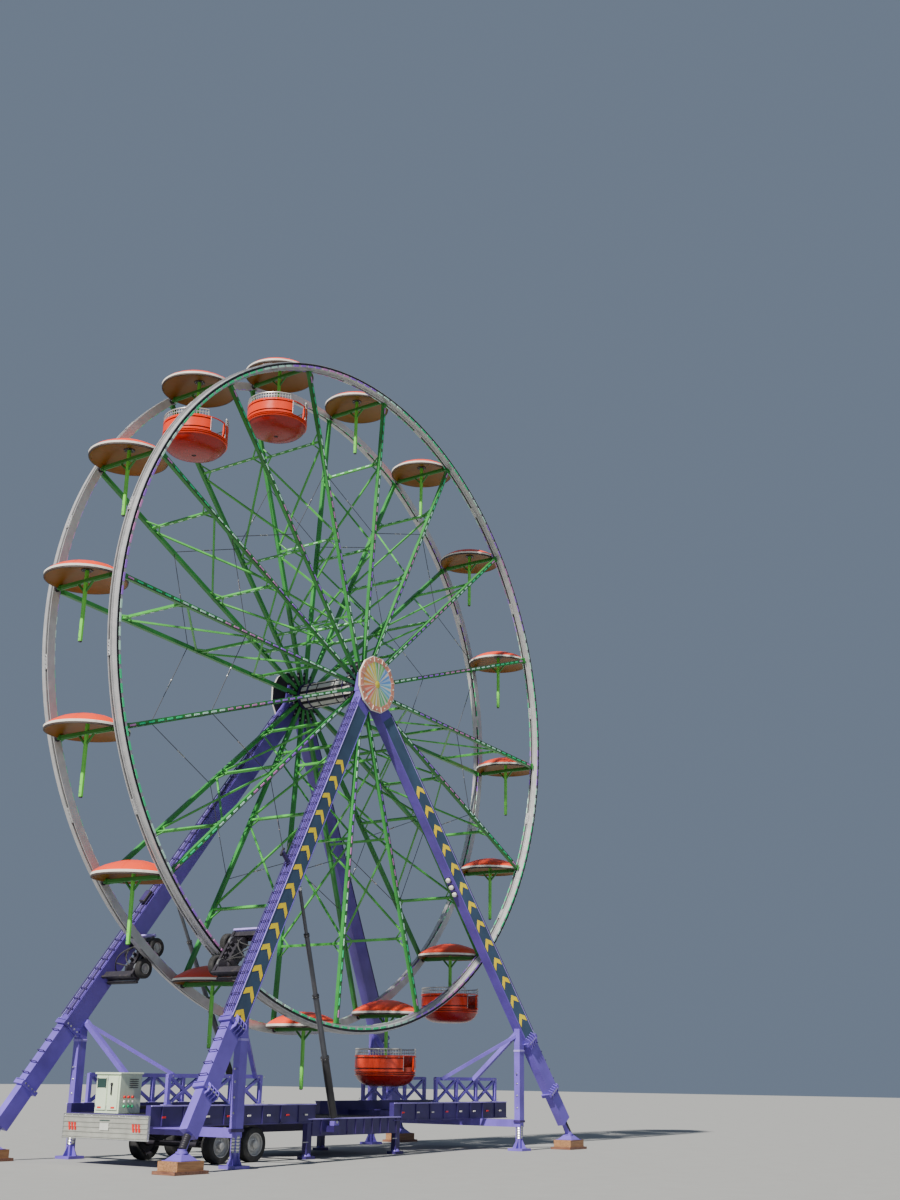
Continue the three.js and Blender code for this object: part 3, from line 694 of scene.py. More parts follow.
def hanger_form():
    form = Form()
    # Beam, blocks and knees are in the darker green of painted shade.
    form.bar_at(Vector(), Y * 0.90, 2 * BEAM_HALF, 2 * BEAM_HALF, X, beam_shade_green)
    for sy in (-1, 1):
        form.rod([(0, sy * 0.895, 0), (0, sy * 0.9245, 0)], 0.036, bright, 20)
        form.box((-0.06, sy * 0.80, -0.06), (0.06, sy * 0.815, 0.06), beam_shade_green, 0.004)
        form.bar((0, sy * 0.24, -0.03), (0, sy * 0.02, -0.25), 0.045, 0.04, X, beam_shade_green)
        form.bar((0, sy * 0.84, -0.052), (0, sy * 0.30, -0.052), 0.03, 0.014, X, green)
        for x in (-0.03, 0.03):
            form.bolt((x, sy * 0.815, 0.03), Y * sy, 0.009)
    post_top, post_end = Z * (UNDER_Z - 0.008), Z * (POST_LOW + 0.02)
    form.bar(post_top, post_end, 2 * POST_HALF, 2 * POST_HALF, X, post_green, 0.02)
    form.turn([(0.0, POST_LOW), (0.036, POST_LOW), (0.036, post_end.z), (0.0, post_end.z)], machine, sides=20)
    for i in range(6):
        form.bolt(level_way(tau * (i + 0.5) / 6) * 0.105 + Z * (UNDER_Z - PAD), -Z, 0.009)
    for z in (-1.12, -1.30):
        for side in (-1, 1):
            form.bolt((side * (POST_HALF - 0.004), 0, z), X * side, 0.012)
    return form


# Tub: bowl, stepped ridge, wall with a doorway on the near side, railing, bench and middle post.
DOOR_AT = -pi / 2
DOOR_HALF, RAIL_GAP_HALF = asin(0.225 / TUB_R), radians(23)
BENCH_GAP_HALF = DOOR_HALF * 1.5
WALL_IN, WALL_OUT, WALL_LOW, WALL_TOP = 0.735, 0.797, -1.39, -1.005
WELL_R, WELL_Z, POST_R = 0.405, -1.64, 0.09
RAIL_R, RAIL_TOP = 0.785, -0.832
BALUSTERS, WALL_BOLTS = 58, 14


def door_way(turn):
    """The direction at an angle from the middle of the doorway."""
    return level_way(DOOR_AT + turn)


def past_door(half):
    """The span from one side of a gap at the doorway round to its other side."""
    return half, tau - half


def tub_shell(form):
    """Bowl, ridge and the wall with its doorway, door rods and bolts."""
    bowl = [(0.05, -1.735), (0.06, -1.75), (0.30, -1.748), (0.48, -1.728), (0.62, -1.668), (0.71, -1.59),
            (0.762, -1.50), (0.768, -1.488)]
    ridge = [(0.768, -1.488), (0.790, -1.480), (0.795, -1.466), (0.758, -1.456), (0.758, -1.438),
             (0.792, -1.430), (0.797, -1.416), (0.764, -1.408), (0.764, -1.396), (WALL_OUT, WALL_LOW)]
    wall = [(WALL_OUT, WALL_LOW), (TUB_R, -1.378), (0.799, -1.335), (0.768, -1.326), (0.768, -1.306),
            (0.795, -1.298), (0.792, -1.075), (0.772, -1.067), (0.772, -1.050), (TUB_R, -1.040),
            (TUB_R, WALL_TOP), (0.765, WALL_TOP), (0.750, -1.03), (0.738, -1.27), (WALL_IN, WALL_LOW)]
    sill = [(WALL_OUT, WALL_LOW), (WALL_OUT, -1.385), (WALL_IN, -1.385), (WALL_IN, -1.40)]
    # The recessed faces of the ridge and wall are in the groove red, as painted shade.
    ridge_coats = [tub_groove_shade if i in (2, 3, 6, 7) else tub_orange for i in range(len(ridge))]
    wall_coats = [tub_groove_shade if i in (2, 3, 4, 6, 7) else tub_orange for i in range(len(wall))]
    # The bowl is darker than the wall as painted shade.
    form.turn(bowl, bowl_shade_red, sides=72)
    form.turn(ridge, ridge_coats, sides=72)
    form.turn(sill, tub_orange, sides=72)
    form.turn(wall, wall_coats, sides=68, span=past_door(DOOR_HALF), zero=door_way(0), closed=True)
    form.hoop((TUB_R, 0.770), (WALL_TOP, WALL_TOP + 0.015), tub_orange, sides=72)
    for turn in (-1, 1):
        out = door_way(turn * (DOOR_HALF + 0.03))
        form.rod([out * 0.806 - Z * 1.37, out * 0.806 - Z * 1.01], 0.008, bright, 8)
    for turn in spread(*past_door(DOOR_HALF + 0.2), WALL_BOLTS):
        form.bolt(door_way(turn) * 0.7985 - Z * 1.035, door_way(turn), 0.008)


def tub_railing(form):
    rail_span = past_door(RAIL_GAP_HALF)
    top = [(0.800, -0.845), (0.796, -0.825), (0.783, -0.82), (0.770, -0.825), (0.766, -0.845), (0.783, -0.85)]
    form.turn(top, rail_grey, sides=68, span=rail_span, zero=door_way(0), closed=True)
    form.hoop((0.792, 0.778), (-0.925, -0.912), rail_grey, sides=68, span=rail_span, zero=door_way(0))
    for i, turn in enumerate(spread(*rail_span, BALUSTERS + 1)):
        out = door_way(turn)
        wide = 0.030 if i in (0, BALUSTERS) else 0.014
        form.bar(out * RAIL_R + Z * (WALL_TOP + 0.013), out * RAIL_R + Z * RAIL_TOP, wide, 0.008,
                 Z.cross(out), rail_grey, 0.002)


def tub_bench(form):
    """The bench ring, open at the doorway, with the dark step and the bench's end cheeks there."""
    bench = [(0.733, -1.268), (0.70, -1.262), (0.47, -1.266), (0.436, -1.28), (0.43, -1.31), (WELL_R, WELL_Z)]
    step = [(WALL_IN, -1.385), (0.42, WALL_LOW), (WELL_R, WELL_Z)]
    form.turn(bench, seat, sides=68, span=past_door(BENCH_GAP_HALF), zero=door_way(0))
    form.turn(step, machine, sides=12, span=(-BENCH_GAP_HALF, BENCH_GAP_HALF), zero=door_way(0))
    for side in (-1, 1):
        out = door_way(side * BENCH_GAP_HALF)
        corners = ((WALL_IN, -1.268), (0.436, -1.28), (0.42, WALL_LOW), (WALL_IN, WALL_LOW))
        cheek = [out * r + Z * h for r, h in corners]
        form.plate(cheek, Z.cross(out) * -side, 0.008, seat)


def tub_middle(form):
    """Floor and post, with a black disc and ring under the bowl that are painted shade of its opening."""
    post_top = POST_LOW - 0.0005
    post = [(POST_R, WELL_Z), (0.075, -1.60), (0.06, -1.45), (0.06, post_top), (0.0, post_top)]
    collar = [(0.055, -1.7497), (0.120, -1.7492), (0.125, -1.742), (0.053, -1.740)]
    form.turn([(WELL_R, WELL_Z), (POST_R, WELL_Z)], dark_steel_and_groove_shade, sides=48)
    form.turn(post, bright, sides=28)
    # The black disc and ring stand for the dark opening under the bowl: painted shade.
    form.turn([(0.05, -1.735), (0.0, -1.733)], ram_black_and_hole_shade, sides=24)
    form.turn(collar, ram_black_and_hole_shade, sides=28, closed=True)


def tub_form():
    form = Form()
    for part in (tub_shell, tub_railing, tub_bench, tub_middle):
        part(form)
    return form


seats = [(k, "cabin_" + tag(k), Matrix.Translation(radial(angle_of(k), PIVOT_R, 0))) for k in range(CABINS)]
for k, canopy in repeat(canopy_form(), "canopy_", "canopy_orange", seats).items():
    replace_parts(canopy, "canopy_hanger_" + tag(k))
repeat(hanger_form(), "hanger_", "canopy_orange", seats)
for k, gondola in repeat(tub_form(), "gondola_", "tub_orange", [seats[k] for k in TUB_CABINS]).items():
    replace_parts(gondola, "tub_" + tag(k))


# Tower legs: stripes, ladder, cables, hinge lugs and jacks. t runs from 0 at the head to 1 at the foot.
STRIPE_STEP, STRIPE_ARM, STRIPE_HALF = 0.56, 0.15, 0.165
STRIPES = {-1: (14, 0.167), 1: (13, 0.587)}
STRIP_TOP, STRIP_LOW, STRIP_HALF = 0.075, LEG_HINGE - 0.0055, 0.205
STRIPE_DATUM = LEG_HINGE - 0.012
LADDER_TOP, LADDER_LOW = 0.07, 0.93
RUNG_STEP, RUNG_HALF, RUNG_OUT = 0.27, 0.105, 0.05
LEG_COLLARS = ((LEG_HINGE, 0.07, 0.20, 0.085), (LEG_SLEEVE, 0.04, 0.14, 0.06))


def leg_y(t):
    return LEG_TOP_Y + (LEG_FOOT_Y - LEG_TOP_Y) * t


def leg_at(sx, sy, t):
    return Vector((sx * LEG_X * t, sy * leg_y(t), HUB.z - LEG_DROP * t))


class Leg:
    """One leg's directions: down along it, outboard across it, and up out of its weather side."""

    def __init__(self, sx, sy):
        self.sx, self.sy = sx, sy
        self.along = (leg_at(sx, sy, 1) - leg_at(sx, sy, 0)).normalized()
        up = self.along.cross(Y).normalized()
        self.up = -up if up.z < 0 else up
        across = self.up.cross(self.along).normalized()
        self.across = -across if across.y * sy < 0 else across

    def at(self, t, a=0.0, b=0.0, s=0.0):
        """A point at t that is shifted across by a, up by b and along by s."""
        return leg_at(self.sx, self.sy, t) + self.across * a + self.up * b + self.along * s


def leg_stripes(form, leg):
    """Chevrons on a dark strip between two trim bars."""
    face = LEG_THICK / 2
    strip = ((STRIP_TOP, 1), (STRIP_LOW, 1), (STRIP_LOW, -1), (STRIP_TOP, -1))
    form.plate([leg.at(t, face, b * STRIP_HALF) for t, b in strip], leg.across, 0.004, slate)
    chevron = ((0.0, -0.06), (STRIPE_HALF, 0.10), (STRIPE_HALF, 0.10 + STRIPE_ARM), (0.0, STRIPE_ARM - 0.06),
               (-STRIPE_HALF, 0.10 + STRIPE_ARM), (-STRIPE_HALF, 0.10))
    count, first = STRIPES[leg.sx]
    for i in range(count):
        t = STRIPE_DATUM - (first + i * STRIPE_STEP) / LEG_LENGTH
        form.plate([leg.at(t, face + 0.0045, b, s) for b, s in chevron], leg.across, 0.003, yellow)
    for b, tone in ((-0.215, purple), (0.215, lilac_trim_and_highlight)):
        start, end = (leg.at(t, face + 0.004, b) for t in (STRIP_TOP, STRIP_LOW))
        form.bar(start, end, 0.018, 0.012, leg.up, tone)


def leg_ladder(form, leg):
    """Rungs, cables and rails on the weather side."""
    back = LEG_WIDE / 2
    for i in range(int((LADDER_LOW - LADDER_TOP) * LEG_LENGTH / RUNG_STEP)):
        t = LADDER_TOP + i * RUNG_STEP / LEG_LENGTH
        if min(abs(t - LEG_HINGE), abs(t - LEG_SLEEVE)) < 0.01:
            continue
        foot = back if t < LEG_HINGE else back - 0.02
        staple = ((-RUNG_HALF, -0.004), (-RUNG_HALF, RUNG_OUT), (RUNG_HALF, RUNG_OUT), (RUNG_HALF, -0.004))
        form.rod([leg.at(t, a, foot + b) for a, b in staple], 0.011, purple_dark, 6)
    for a, r in ((-0.05, 0.008), (0.0, 0.010), (0.055, 0.008)):
        form.rod([leg.at(t, a, back + r) for t in (0.05, LEG_HINGE - 0.015)], r, purple_dark, 8)
    for a in (-RUNG_HALF, RUNG_HALF):
        start, end = (leg.at(t, a, back + RUNG_OUT) for t in (LADDER_TOP, LEG_HINGE - 0.012))
        form.bar(start, end, 0.022, 0.016, leg.across, purple_dark)


def leg_collar(form, leg, t, growth, reach, stand):
    """Four lugs on a pin, with bolts and edge bars, at the hinge or at the sleeve."""
    half, wide = (LEG_THICK + growth) / 2, (LEG_WIDE + growth) / 2 - 0.002
    lug = ((-0.045, -1), (stand * 0.6, -0.55), (stand, 0), (stand * 0.6, 0.55), (-0.045, 1))
    for i in range(4):
        b = -0.195 + 0.095 * i
        form.plate([leg.at(t, half + a, b, reach * s) for a, s in lug], leg.up, 0.022, purple)
    form.rod([leg.at(t, half + stand * 0.45, b) for b in (-0.215, 0.13)], 0.02, bright, 14)
    for b in (-0.16, -0.06, 0.06, 0.16):
        form.bolt(leg.at(t, -half, b, -0.02), -leg.across, 0.016)
    for b in (-wide, wide):
        form.bar(leg.at(t, -0.12, b, -0.052), leg.at(t, 0.12, b, -0.052), 0.012, 0.05, leg.along, purple)


def foot_ribs(form, ground, ways, reach, heights, thick):
    """Three-cornered ribs that stand round a screw on its plate."""
    (near, far), (low, high) = reach, heights
    for x, y in ways:
        out = Vector((x, y, 0))
        rib = [ground + out * r + Z * z for r, z in ((near, high), (far, low), (near, low))]
        form.plate(rib, Z.cross(out), thick, purple)


def leg_foot(form, leg):
    """The jack's collar and screw, ribs, timber packing, board bolts and base plate."""
    foot = leg.at(1)
    ground = Vector((foot.x, foot.y, 0))
    collar = [(0.0, RIB_TOP), (0.12, RIB_TOP), (0.115, 0.39), (0.085, 0.40), (0.08, 0.44), (0.0, 0.44)]
    plate = [(0.13, RIB_LOW), (0.36, RIB_LOW), (0.36, 0.245), (0.13, 0.25)]
    form.turn(collar, purple, ground, Z, 24)
    form.screw(foot, foot + (leg.at(0.965) - foot).normalized() * 0.30, 14, 0.078, 0.071, machine)
    corners = [(x, y) for x in (-1, 1) for y in (-1, 1)]
    foot_ribs(form, ground, corners, (0.06, 0.235), (RIB_LOW, RIB_TOP), -0.012)
    for y in (-0.26, -0.087, 0.087):
        form.box(ground + Vector((-0.352, y + 0.002, BOARD_TOP + 0.001)),
                 ground + Vector((0.352, y + 0.171, PACKING_TOP)), block_wood, 0.008)
    for x, y in corners:
        form.bolt(ground + Vector((0.40 * x, 0.24 * y, BOARD_TOP - 0.0005)), Z, 0.012, 0.006)
    form.turn(plate, purple, ground, Z, 4, zero=(1, 1, 0), closed=True)


def leg_trim(sx, sy):
    form, leg = Form(), Leg(sx, sy)
    leg_stripes(form, leg)
    leg_ladder(form, leg)
    for values in LEG_COLLARS:
        leg_collar(form, leg, *values)
    leg_foot(form, leg)
    return form


for side_name, sy in SIDES:
    for end_name, sx in ENDS:
        leg_trim(sx, sy).finish("%s_%s_leg_trim" % (side_name, end_name), "base", "tower_purple")
dress(leg_finish(), *("%s_%s_leg" % (s, e) for s, _ in SIDES for e, _ in ENDS))


def junction_box(form):
    leg = Leg(-1, 1)
    at = leg.at(0.53, b=LEG_WIDE / 2 + 0.07)
    form.bar_at(at, leg.along * 0.16, 0.18, 0.13, leg.across, machine)
    form.bar_at(at + leg.up * 0.067, leg.along * 0.14, 0.15, 0.01, leg.across, purple_dark)


def bracket(form):
    """An arm that stands off the leg, with its cross piece and a cable."""
    leg = Leg(-1, -1)

    def at(b, s):
        return leg.at(0.475, b=LEG_WIDE / 2 + b, s=s)

    form.bar(at(0, 0), at(0.34, -0.06), 0.09, 0.07, leg.across, purple_dark)
    form.bar(at(0.33, -0.16), at(0.33, 0.05), 0.05, 0.05, leg.across, machine)
    form.rod([at(0.20, -0.02), at(0.24, -0.40), at(0.02, -0.55)], 0.010, hose, 8)


def leg_lamps(form):
    leg = Leg(1, -1)
    for i in range(3):
        at = leg.at(0.418 + 0.0155 * i, -0.03, -LEG_WIDE / 2)
        form.turn([(0.0, 0.07), (0.045, 0.065), (0.062, 0.045), (0.068, 0.0)], white, at, -leg.up, 20)
        form.bar_at(at, leg.across * 0.08, 0.15, 0.016, leg.along, machine)


boxes = Form()
for part in (junction_box, bracket, leg_lamps):
    part(boxes)
boxes.finish("leg_boxes", "base", "tower_purple")


# Signs: a pastel sunburst in a segmented border.
RAYS, BORDER_PARTS, FIRST_RAY = 48, 12, radians(15)
RAY_IN, RAY_OUT, BORDER_OUT = 0.10, 0.60, 0.735


def sign(sy):
    form = Form()
    out = Y * sy
    centre = HUB + out * SIGN_Y1

    def at(a, r, h=0.0005):
        return centre + wheel_way(a) * r + out * h

    def sector(i, count, margin=0.0):
        return [FIRST_RAY + tau * i / count + margin, FIRST_RAY + tau * (i + 1) / count - margin]

    def wedge(angles, r0, r1, thick, coat):
        a0, a1 = angles
        form.plate([at(a0, r0), at(a0, r1), at(a1, r1), at(a1, r0)], out, thick, coat)

    for i in range(RAYS):
        tone = white if i % 6 == 3 else (tints if i % 2 else sectors)[i // 6]
        wedge(sector(i, RAYS), RAY_IN, RAY_OUT, 0.008, tone)
    for i in range(BORDER_PARTS):
        wedge(sector(i, BORDER_PARTS, 0.004), RAY_OUT, BORDER_OUT, 0.011, border_paint)
        a0, a1 = sector(i, BORDER_PARTS)
        form.bar(at(a0, 0.746, -0.02), at(a1, 0.746, -0.02), 0.045, 0.018, out, white)
        form.bar(at(a0, 0.605, 0.0125), at(a0, 0.73, 0.0125), 0.03, 0.008, out, white)
        lamp = at((a0 + a1) / 2, 0.67, 0.0115)
        form.turn([(0.0, 0.012), (0.012, 0.010), (0.018, 0.0)], lamps["white"], lamp, out, 12)
    form.turn([(0.0, 0.014), (0.08, 0.012), (0.115, 0.0005)], sectors[2], centre, out, 24)
    return form


for side_name, sy in SIDES:
    sign(sy).finish(side_name + "_sign_sunburst", "base", "sign_face", weld=False)
dress(machine, "near_sign", "far_sign")

# Bearing covers between the heads and the signs, with their bolts.
COVER_Y = HEAD_Y1 + 0.001
heads = Form()
for _, sy in SIDES:
    heads.bolt_circle(HUB, sy * HEAD_Y1, sy, 0.21, 12, 0.018, 0.5)
    cover = [(0.165, COVER_Y), (0.25, COVER_Y), (0.245, COVER_Y + 0.011), (0.165, COVER_Y + 0.013)]
    heads.turn(cover, purple_dark, HUB, Y, 40, closed=True, flip=sy)
heads.finish("bearing_covers", "base", "tower_purple")


# Drive tyres and the motors that turn them.
TANGENT = wheel_tangent(DRIVE_ANGLE)
MOTOR_FINS, FIN_Y, FIN_STEP = 9, 1.315, 0.026
GEARBOX_Y, GEARBOX_R0, GEARBOX_R1 = 1.47, 8.40, 8.80
SPRING_COILS, SPRING_LONG, SPRING_R = 9, 0.42, 0.045


def drive_at(r, y, shift=0.0):
    """A point beside a left leg: its distance from the axis, its Y and its shift along the tangent."""
    return radial(DRIVE_ANGLE, r, y) + TANGENT * shift


def leg_face(r):
    """The Y of the leg's inner face, as far from the hub as r."""
    return leg_y(r / LEG_LENGTH) - LEG_THICK / 2


def drive_tyre(r, sy):
    form = Form()
    at = drive_at(r, 0)
    y0, y1 = TYRE_Y0, TYRE_Y1
    tread = [(0.115, y0 + 0.012), (0.15, y0), (0.185, y0), (0.205, y0 + 0.012), (0.219, y0 + 0.030)]
    for i in range(4):
        y = y0 + 0.036 + 0.024 * i
        tread += [(0.2195, y), (0.211, y + 0.002), (0.211, y + 0.006), (0.2195, y + 0.008)]
    tread += [(0.219, y1 - 0.030), (0.205, y1 - 0.012), (0.185, y1), (0.15, y1), (0.115, y1 - 0.012)]
    rim = [(0.115, y0 + 0.012), (0.108, y0 + 0.02), (0.10, y0 + 0.05), (0.05, y0 + 0.05), (0.045, y0 + 0.02),
           (0.0, y0 + 0.02)]
    back = [(0.115, y1 - 0.012), (0.10, y1 - 0.04), (0.05, y1 - 0.04), (0.04, y1), (0.04, 1.2297),
            (0.0, 1.2297)]
    form.turn(tread, black_rubber, at, Y, 48, flip=sy)
    form.turn(rim, rail_grey, at, Y, 40, flip=sy)
    form.turn(back, rail_grey, at, Y, 40, flip=sy)
    form.bolt_circle(at, sy * (y0 + 0.05), -sy, 0.072, 5, 0.011)
    return form


def motor(form, r, sy):
    """A finned motor with its end cap, terminal box and bolted flange."""
    at = drive_at(r, 0)
    for i in range(MOTOR_FINS):
        y = FIN_Y + FIN_STEP * i
        form.hoop((0.118, 0.138), (y, y + 0.008), machine, at, Y, 28, flip=sy)
    form.turn([(0.0, 1.625), (0.09, 1.625), (0.122, 1.61), (0.122, 1.56)], machine, at, Y, 28, flip=sy)
    form.bar_at(drive_at(r, sy * 1.42, 0.13), Y * 0.06, 0.09, 0.12, TANGENT, panel)
    form.turn([(0.06, 1.262), (0.15, 1.262), (0.15, 1.30), (0.12, 1.31)], bright, at, Y, 28, flip=sy)
    form.bolt_circle(at, sy * 1.30, sy, 0.135, 8, 0.008)


def drive_mounts(form, sy):
    """The arms that hold the unit to its leg, and the bolts of its plate."""
    for r, tone in ((8.03, lilac_trim_and_highlight), (9.16, machine)):
        for shift in (-0.11, 0.11):
            start, end = drive_at(r, sy * 1.235, shift), drive_at(r, sy * (leg_face(r) - 0.01), shift)
            form.bar(start, end, 0.07, 0.05, TANGENT, tone)
    for r in (8.2, 8.45, 8.75, 9.0):
        form.bolt(drive_at(r, sy * 1.229, 0.10), Y * -sy, 0.012, 0.008)


def drive_hoses(form, sy):
    for i in range(4):
        start = drive_at(INNER_TYRE_AT if i % 2 else OUTER_TYRE_AT, sy * (1.44 + 0.05 * i), -0.11)
        end = drive_at(8.2 + 0.22 * i, sy * (leg_face(8.5) - 0.005), 0.10)
        sag = -TANGENT * (0.16 + 0.05 * i) - Z * 0.12
        line = [start.lerp(end, t) + sag * (4 * t * (1 - t)) for t in spread(0, 1, 13)]
        form.rod(line, 0.014, hose, 8)


def gearbox(form, sy):
    """The block between the motors, with blocks on one side, round ends on the other and ribs."""
    y = sy * GEARBOX_Y
    form.bar(drive_at(GEARBOX_R0, y), drive_at(GEARBOX_R1, y), 0.24, 0.15, TANGENT, machine)
    for i in range(4):
        r = GEARBOX_R0 + 0.05 + 0.10 * i
        reach, tone = (0.25, dark_steel_and_groove_shade) if i % 2 else (0.22, machine)
        form.bar(drive_at(r, y, 0.12), drive_at(r, y, reach), 0.07, 0.09, Y, tone)
        form.bar_at(drive_at(r, y + sy * 0.08), TANGENT * 0.10, 0.02, 0.05, Y, ram_black_and_hole_shade)
    for r in spread(GEARBOX_R0 + 0.06, GEARBOX_R1 - 0.06, 3):
        form.rod([drive_at(r, y, shift) for shift in (-0.12, -0.22)], 0.035, machine, 14)


def drive_spring(form, sy):
    points = []
    steps = SPRING_COILS * 10
    for i in range(steps + 1):
        a = tau * i / 10
        middle = drive_at(8.6 + (i / steps - 0.5) * SPRING_LONG, sy * 1.36)
        points.append(middle + (TANGENT * cos(a) + Y * sin(a)) * SPRING_R)
    form.rod(points, 0.007, bright, 6)


def drive_trim(sy):
    form = Form()
    for r in (INNER_TYRE_AT, OUTER_TYRE_AT):
        motor(form, r, sy)
    for part in (drive_mounts, drive_hoses, gearbox, drive_spring):
        part(form, sy)
    return form


for side_name, sy in SIDES:
    for place_name, r in (("outer", OUTER_TYRE_AT), ("inner", INNER_TYRE_AT)):
        body = "%s_%s_tyre" % (side_name, place_name)
        node = "%s_%s_drive_tyre" % (side_name, place_name)
        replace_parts(drive_tyre(r, sy).finish(node + "_tread", body, "drive_rubber"), node)
    drive_trim(sy).finish(side_name + "_drive_motors", "base", "drive_dark")
dress(machine, "near_drive_unit", "far_drive_unit")


# Lifting rams: polished stages with collars, an eye at each end and a hose.
RAM_TOP_X, RAM_TOP_Y, RAM_TOP_Z = -3.32, 1.985, HUB.z - 5.44
RAM_LOW_X, RAM_LOW_Y, RAM_LOW_Z = -0.98, 1.40, HUB.z - 10.68
RAM_STAGES = ((0.030, 0.23, 0.040, ram_grey, bright), (0.22, 0.48, 0.055, ram_grey, ram_black_and_hole_shade),
              (0.47, 0.735, 0.067, ram_grey, ram_black_and_hole_shade), (0.725, 0.975, 0.088, ram_black_and_hole_shade, ram_black_and_hole_shade))


def ram(sy):
    form = Form()
    top = Vector((RAM_TOP_X, sy * RAM_TOP_Y, RAM_TOP_Z))
    low = Vector((RAM_LOW_X, sy * RAM_LOW_Y, RAM_LOW_Z))
    along = (low - top).normalized()
    for t0, t1, r, tone, collar_tone in RAM_STAGES:
        form.rod([top.lerp(low, t0), top.lerp(low, t1)], r, tone, 28)
        collar = top.lerp(low, t0 + 0.006)
        form.rod_at(collar, along * 0.035, r + 0.012, collar_tone, 28)
        for i in range(6):
            out = Quaternion(along, tau * i / 6) @ along.orthogonal().normalized()
            form.bolt(collar + out * (r + 0.010), out, 0.007)
    form.box_at(top - X * 0.05, (0.10, 0.040, 0.11), purple, 0.01)
    form.rod_at(top, Y * 0.075, 0.032, bright, 16)
    form.box((low.x - 0.09, low.y - 0.066, 0.7005), (low.x + 0.09, low.y + 0.066, 0.80), purple, 0.01)
    form.rod_at(low + Z * 0.02, Y * 0.085, 0.03, bright, 16)
    line = [top.lerp(low, 0.735 + 0.24 * t) - X * (0.105 + 0.02 * sin(pi * t))
            for t in spread(0, 1, 11)]
    form.rod(line, 0.011, hose, 8)
    return form


for side_name, sy in SIDES:
    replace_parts(ram(sy).finish(side_name + "_ram_stages", "base", "ram_grey"), side_name + "_lift_ram")


# Trailer: beam flanges, marker lamps, landing legs, deck strips and the lattices' fixings.
DECK_END_X, DECK_END_TOP = 5.79, 1.0015
LANDING_X, LANDING_Y, CRANK_Z = 1.68, 1.18, 0.36
STIFFENER_STEP, MARKERS, MARKER_LOW, MARKER_TOP = 0.62, 8, 0.93, 0.965
LATTICE_X, LATTICE_STEP = 6.15, 0.93


def trailer_beam(form, sy):
    """Flanges, stiffeners and marker lamps of one side beam and of its well."""
    y = sy * BEAM_OUT
    for x0, x1 in ((-TRAILER_X, -WELL_X), (WELL_X, TRAILER_X)):
        # The bottom flange is in the dark purple of painted shade; the lilac top flange is a painted
        # highlight.
        for z, tone in ((BEAM_LOW + 0.012, trailer_shaded_paint), (BEAM_TOP - 0.012, lilac_trim_and_highlight)):
            form.bar((x0, y + sy * 0.012, z), (x1, y + sy * 0.012, z), 0.03, 0.024, Y, tone)
        # The stiffeners are in the dark purple of painted shade.
        count = int((x1 - x0) / STIFFENER_STEP)
        for i in range(count):
            x = x0 + STIFFENER_STEP / 2 + i * (x1 - x0 - 0.3) / count
            low, high = (x - 0.012, y, BEAM_LOW + 0.02), (x + 0.012, y + sy * 0.024, BEAM_TOP - 0.02)
            form.box(low, high, trailer_shaded_paint, 0.003)
        for i, x in enumerate(spread(x0 + 0.35, x1 - 0.35, MARKERS)):
            low, high = (x - 0.05, y + sy * 0.02, MARKER_LOW), (x + 0.05, y + sy * 0.034, MARKER_TOP)
            form.box(low, high, white if i % 3 else red_lens, 0.006)
    # The lilac bar along the well's top edge is a painted highlight.
    middle = Vector((0, y + sy * 0.010, DECK_TOP - 0.012))
    form.bar_at(middle, X * (WELL_X + 0.26), 0.024, 0.024, Y, lilac_trim_and_highlight)
    for x in spread(-1.6, 1.6, 11):
        if abs(x - RAM_LOW_X) > 0.18:
            low, high = (x - 0.01, y, WELL_LOW + 0.02), (x + 0.01, y + sy * 0.02, DECK_TOP - 0.03)
            form.box(low, high, purple_dark, 0.003)


def landing_leg(form, x, sy):
    y = sy * LANDING_Y
    pad = [(0.0, 0.063), (0.11, 0.063), (0.05, 0.15), (0.045, 0.20), (0.0, 0.20)]
    crank = ((-0.22, 0.085), (-0.06, 0.085), (-0.06, 0.03))
    form.rod([(x, y, 0.05), (x, y, 0.5)], 0.035, bright, 16)
    form.turn(pad, purple, (x, y, 0), Z, 20)
    form.rod([(x + dx, y + sy * dy, CRANK_Z) for dx, dy in crank], 0.011, bright, 8)


def deck_strips(form):
    for side in (-1, 1):
        for y in spread(-1.06, 1.06, 24):
            start, end = ((side * x, y, DECK_END_TOP) for x in (DECK_END_X + 0.03, TRAILER_X - 0.03))
            form.bar(start, end, 0.018, 0.005, Y, dark_steel_and_groove_shade)
    for x in spread(-1.62, 1.62, 34):
        form.bar_at(Vector((x, 0, DECK_TOP + 0.0015)), Y * 1.08, 0.018, 0.005, X, dark_steel_and_groove_shade)


def lattice_fixings(form, sx, sy):
    """Bolts and foot plates of the uprights of one side lattice."""
    for i in range(4):
        x = sx * (LATTICE_X - LATTICE_STEP * i)
        for z in (BEAM_TOP + 0.05, LATTICE_TOP - 0.05):
            for shift in (-0.09, 0.09):
                form.bolt((x + shift, sy * (LATTICE_Y + 0.0405), z), Y * sy, 0.011)
        form.box_at((x, sy * LATTICE_Y, BEAM_TOP + 0.006), (0.13, 0.045, 0.006), lilac_trim_and_highlight, 0.002)


trailer = Form()
for sy in (-1, 1):
    trailer_beam(trailer, sy)
    for sx in (-1, 1):
        landing_leg(trailer, sx * LANDING_X, sy)
        lattice_fixings(trailer, sx, sy)
deck_strips(trailer)
trailer.finish("trailer_trim", "base", "trailer_purple")
# The frame is dark purple below the beam tops as painted shade, and the lit purple above it on the lattices.
dress(two_tone("trailer_frame_painted_shade", TRAILER_SHADE_PURPLE, PURPLE, "Z", BEAM_TOP + 0.001), "trailer_frame")
dress(purple, "left_outriggers", "right_outriggers")

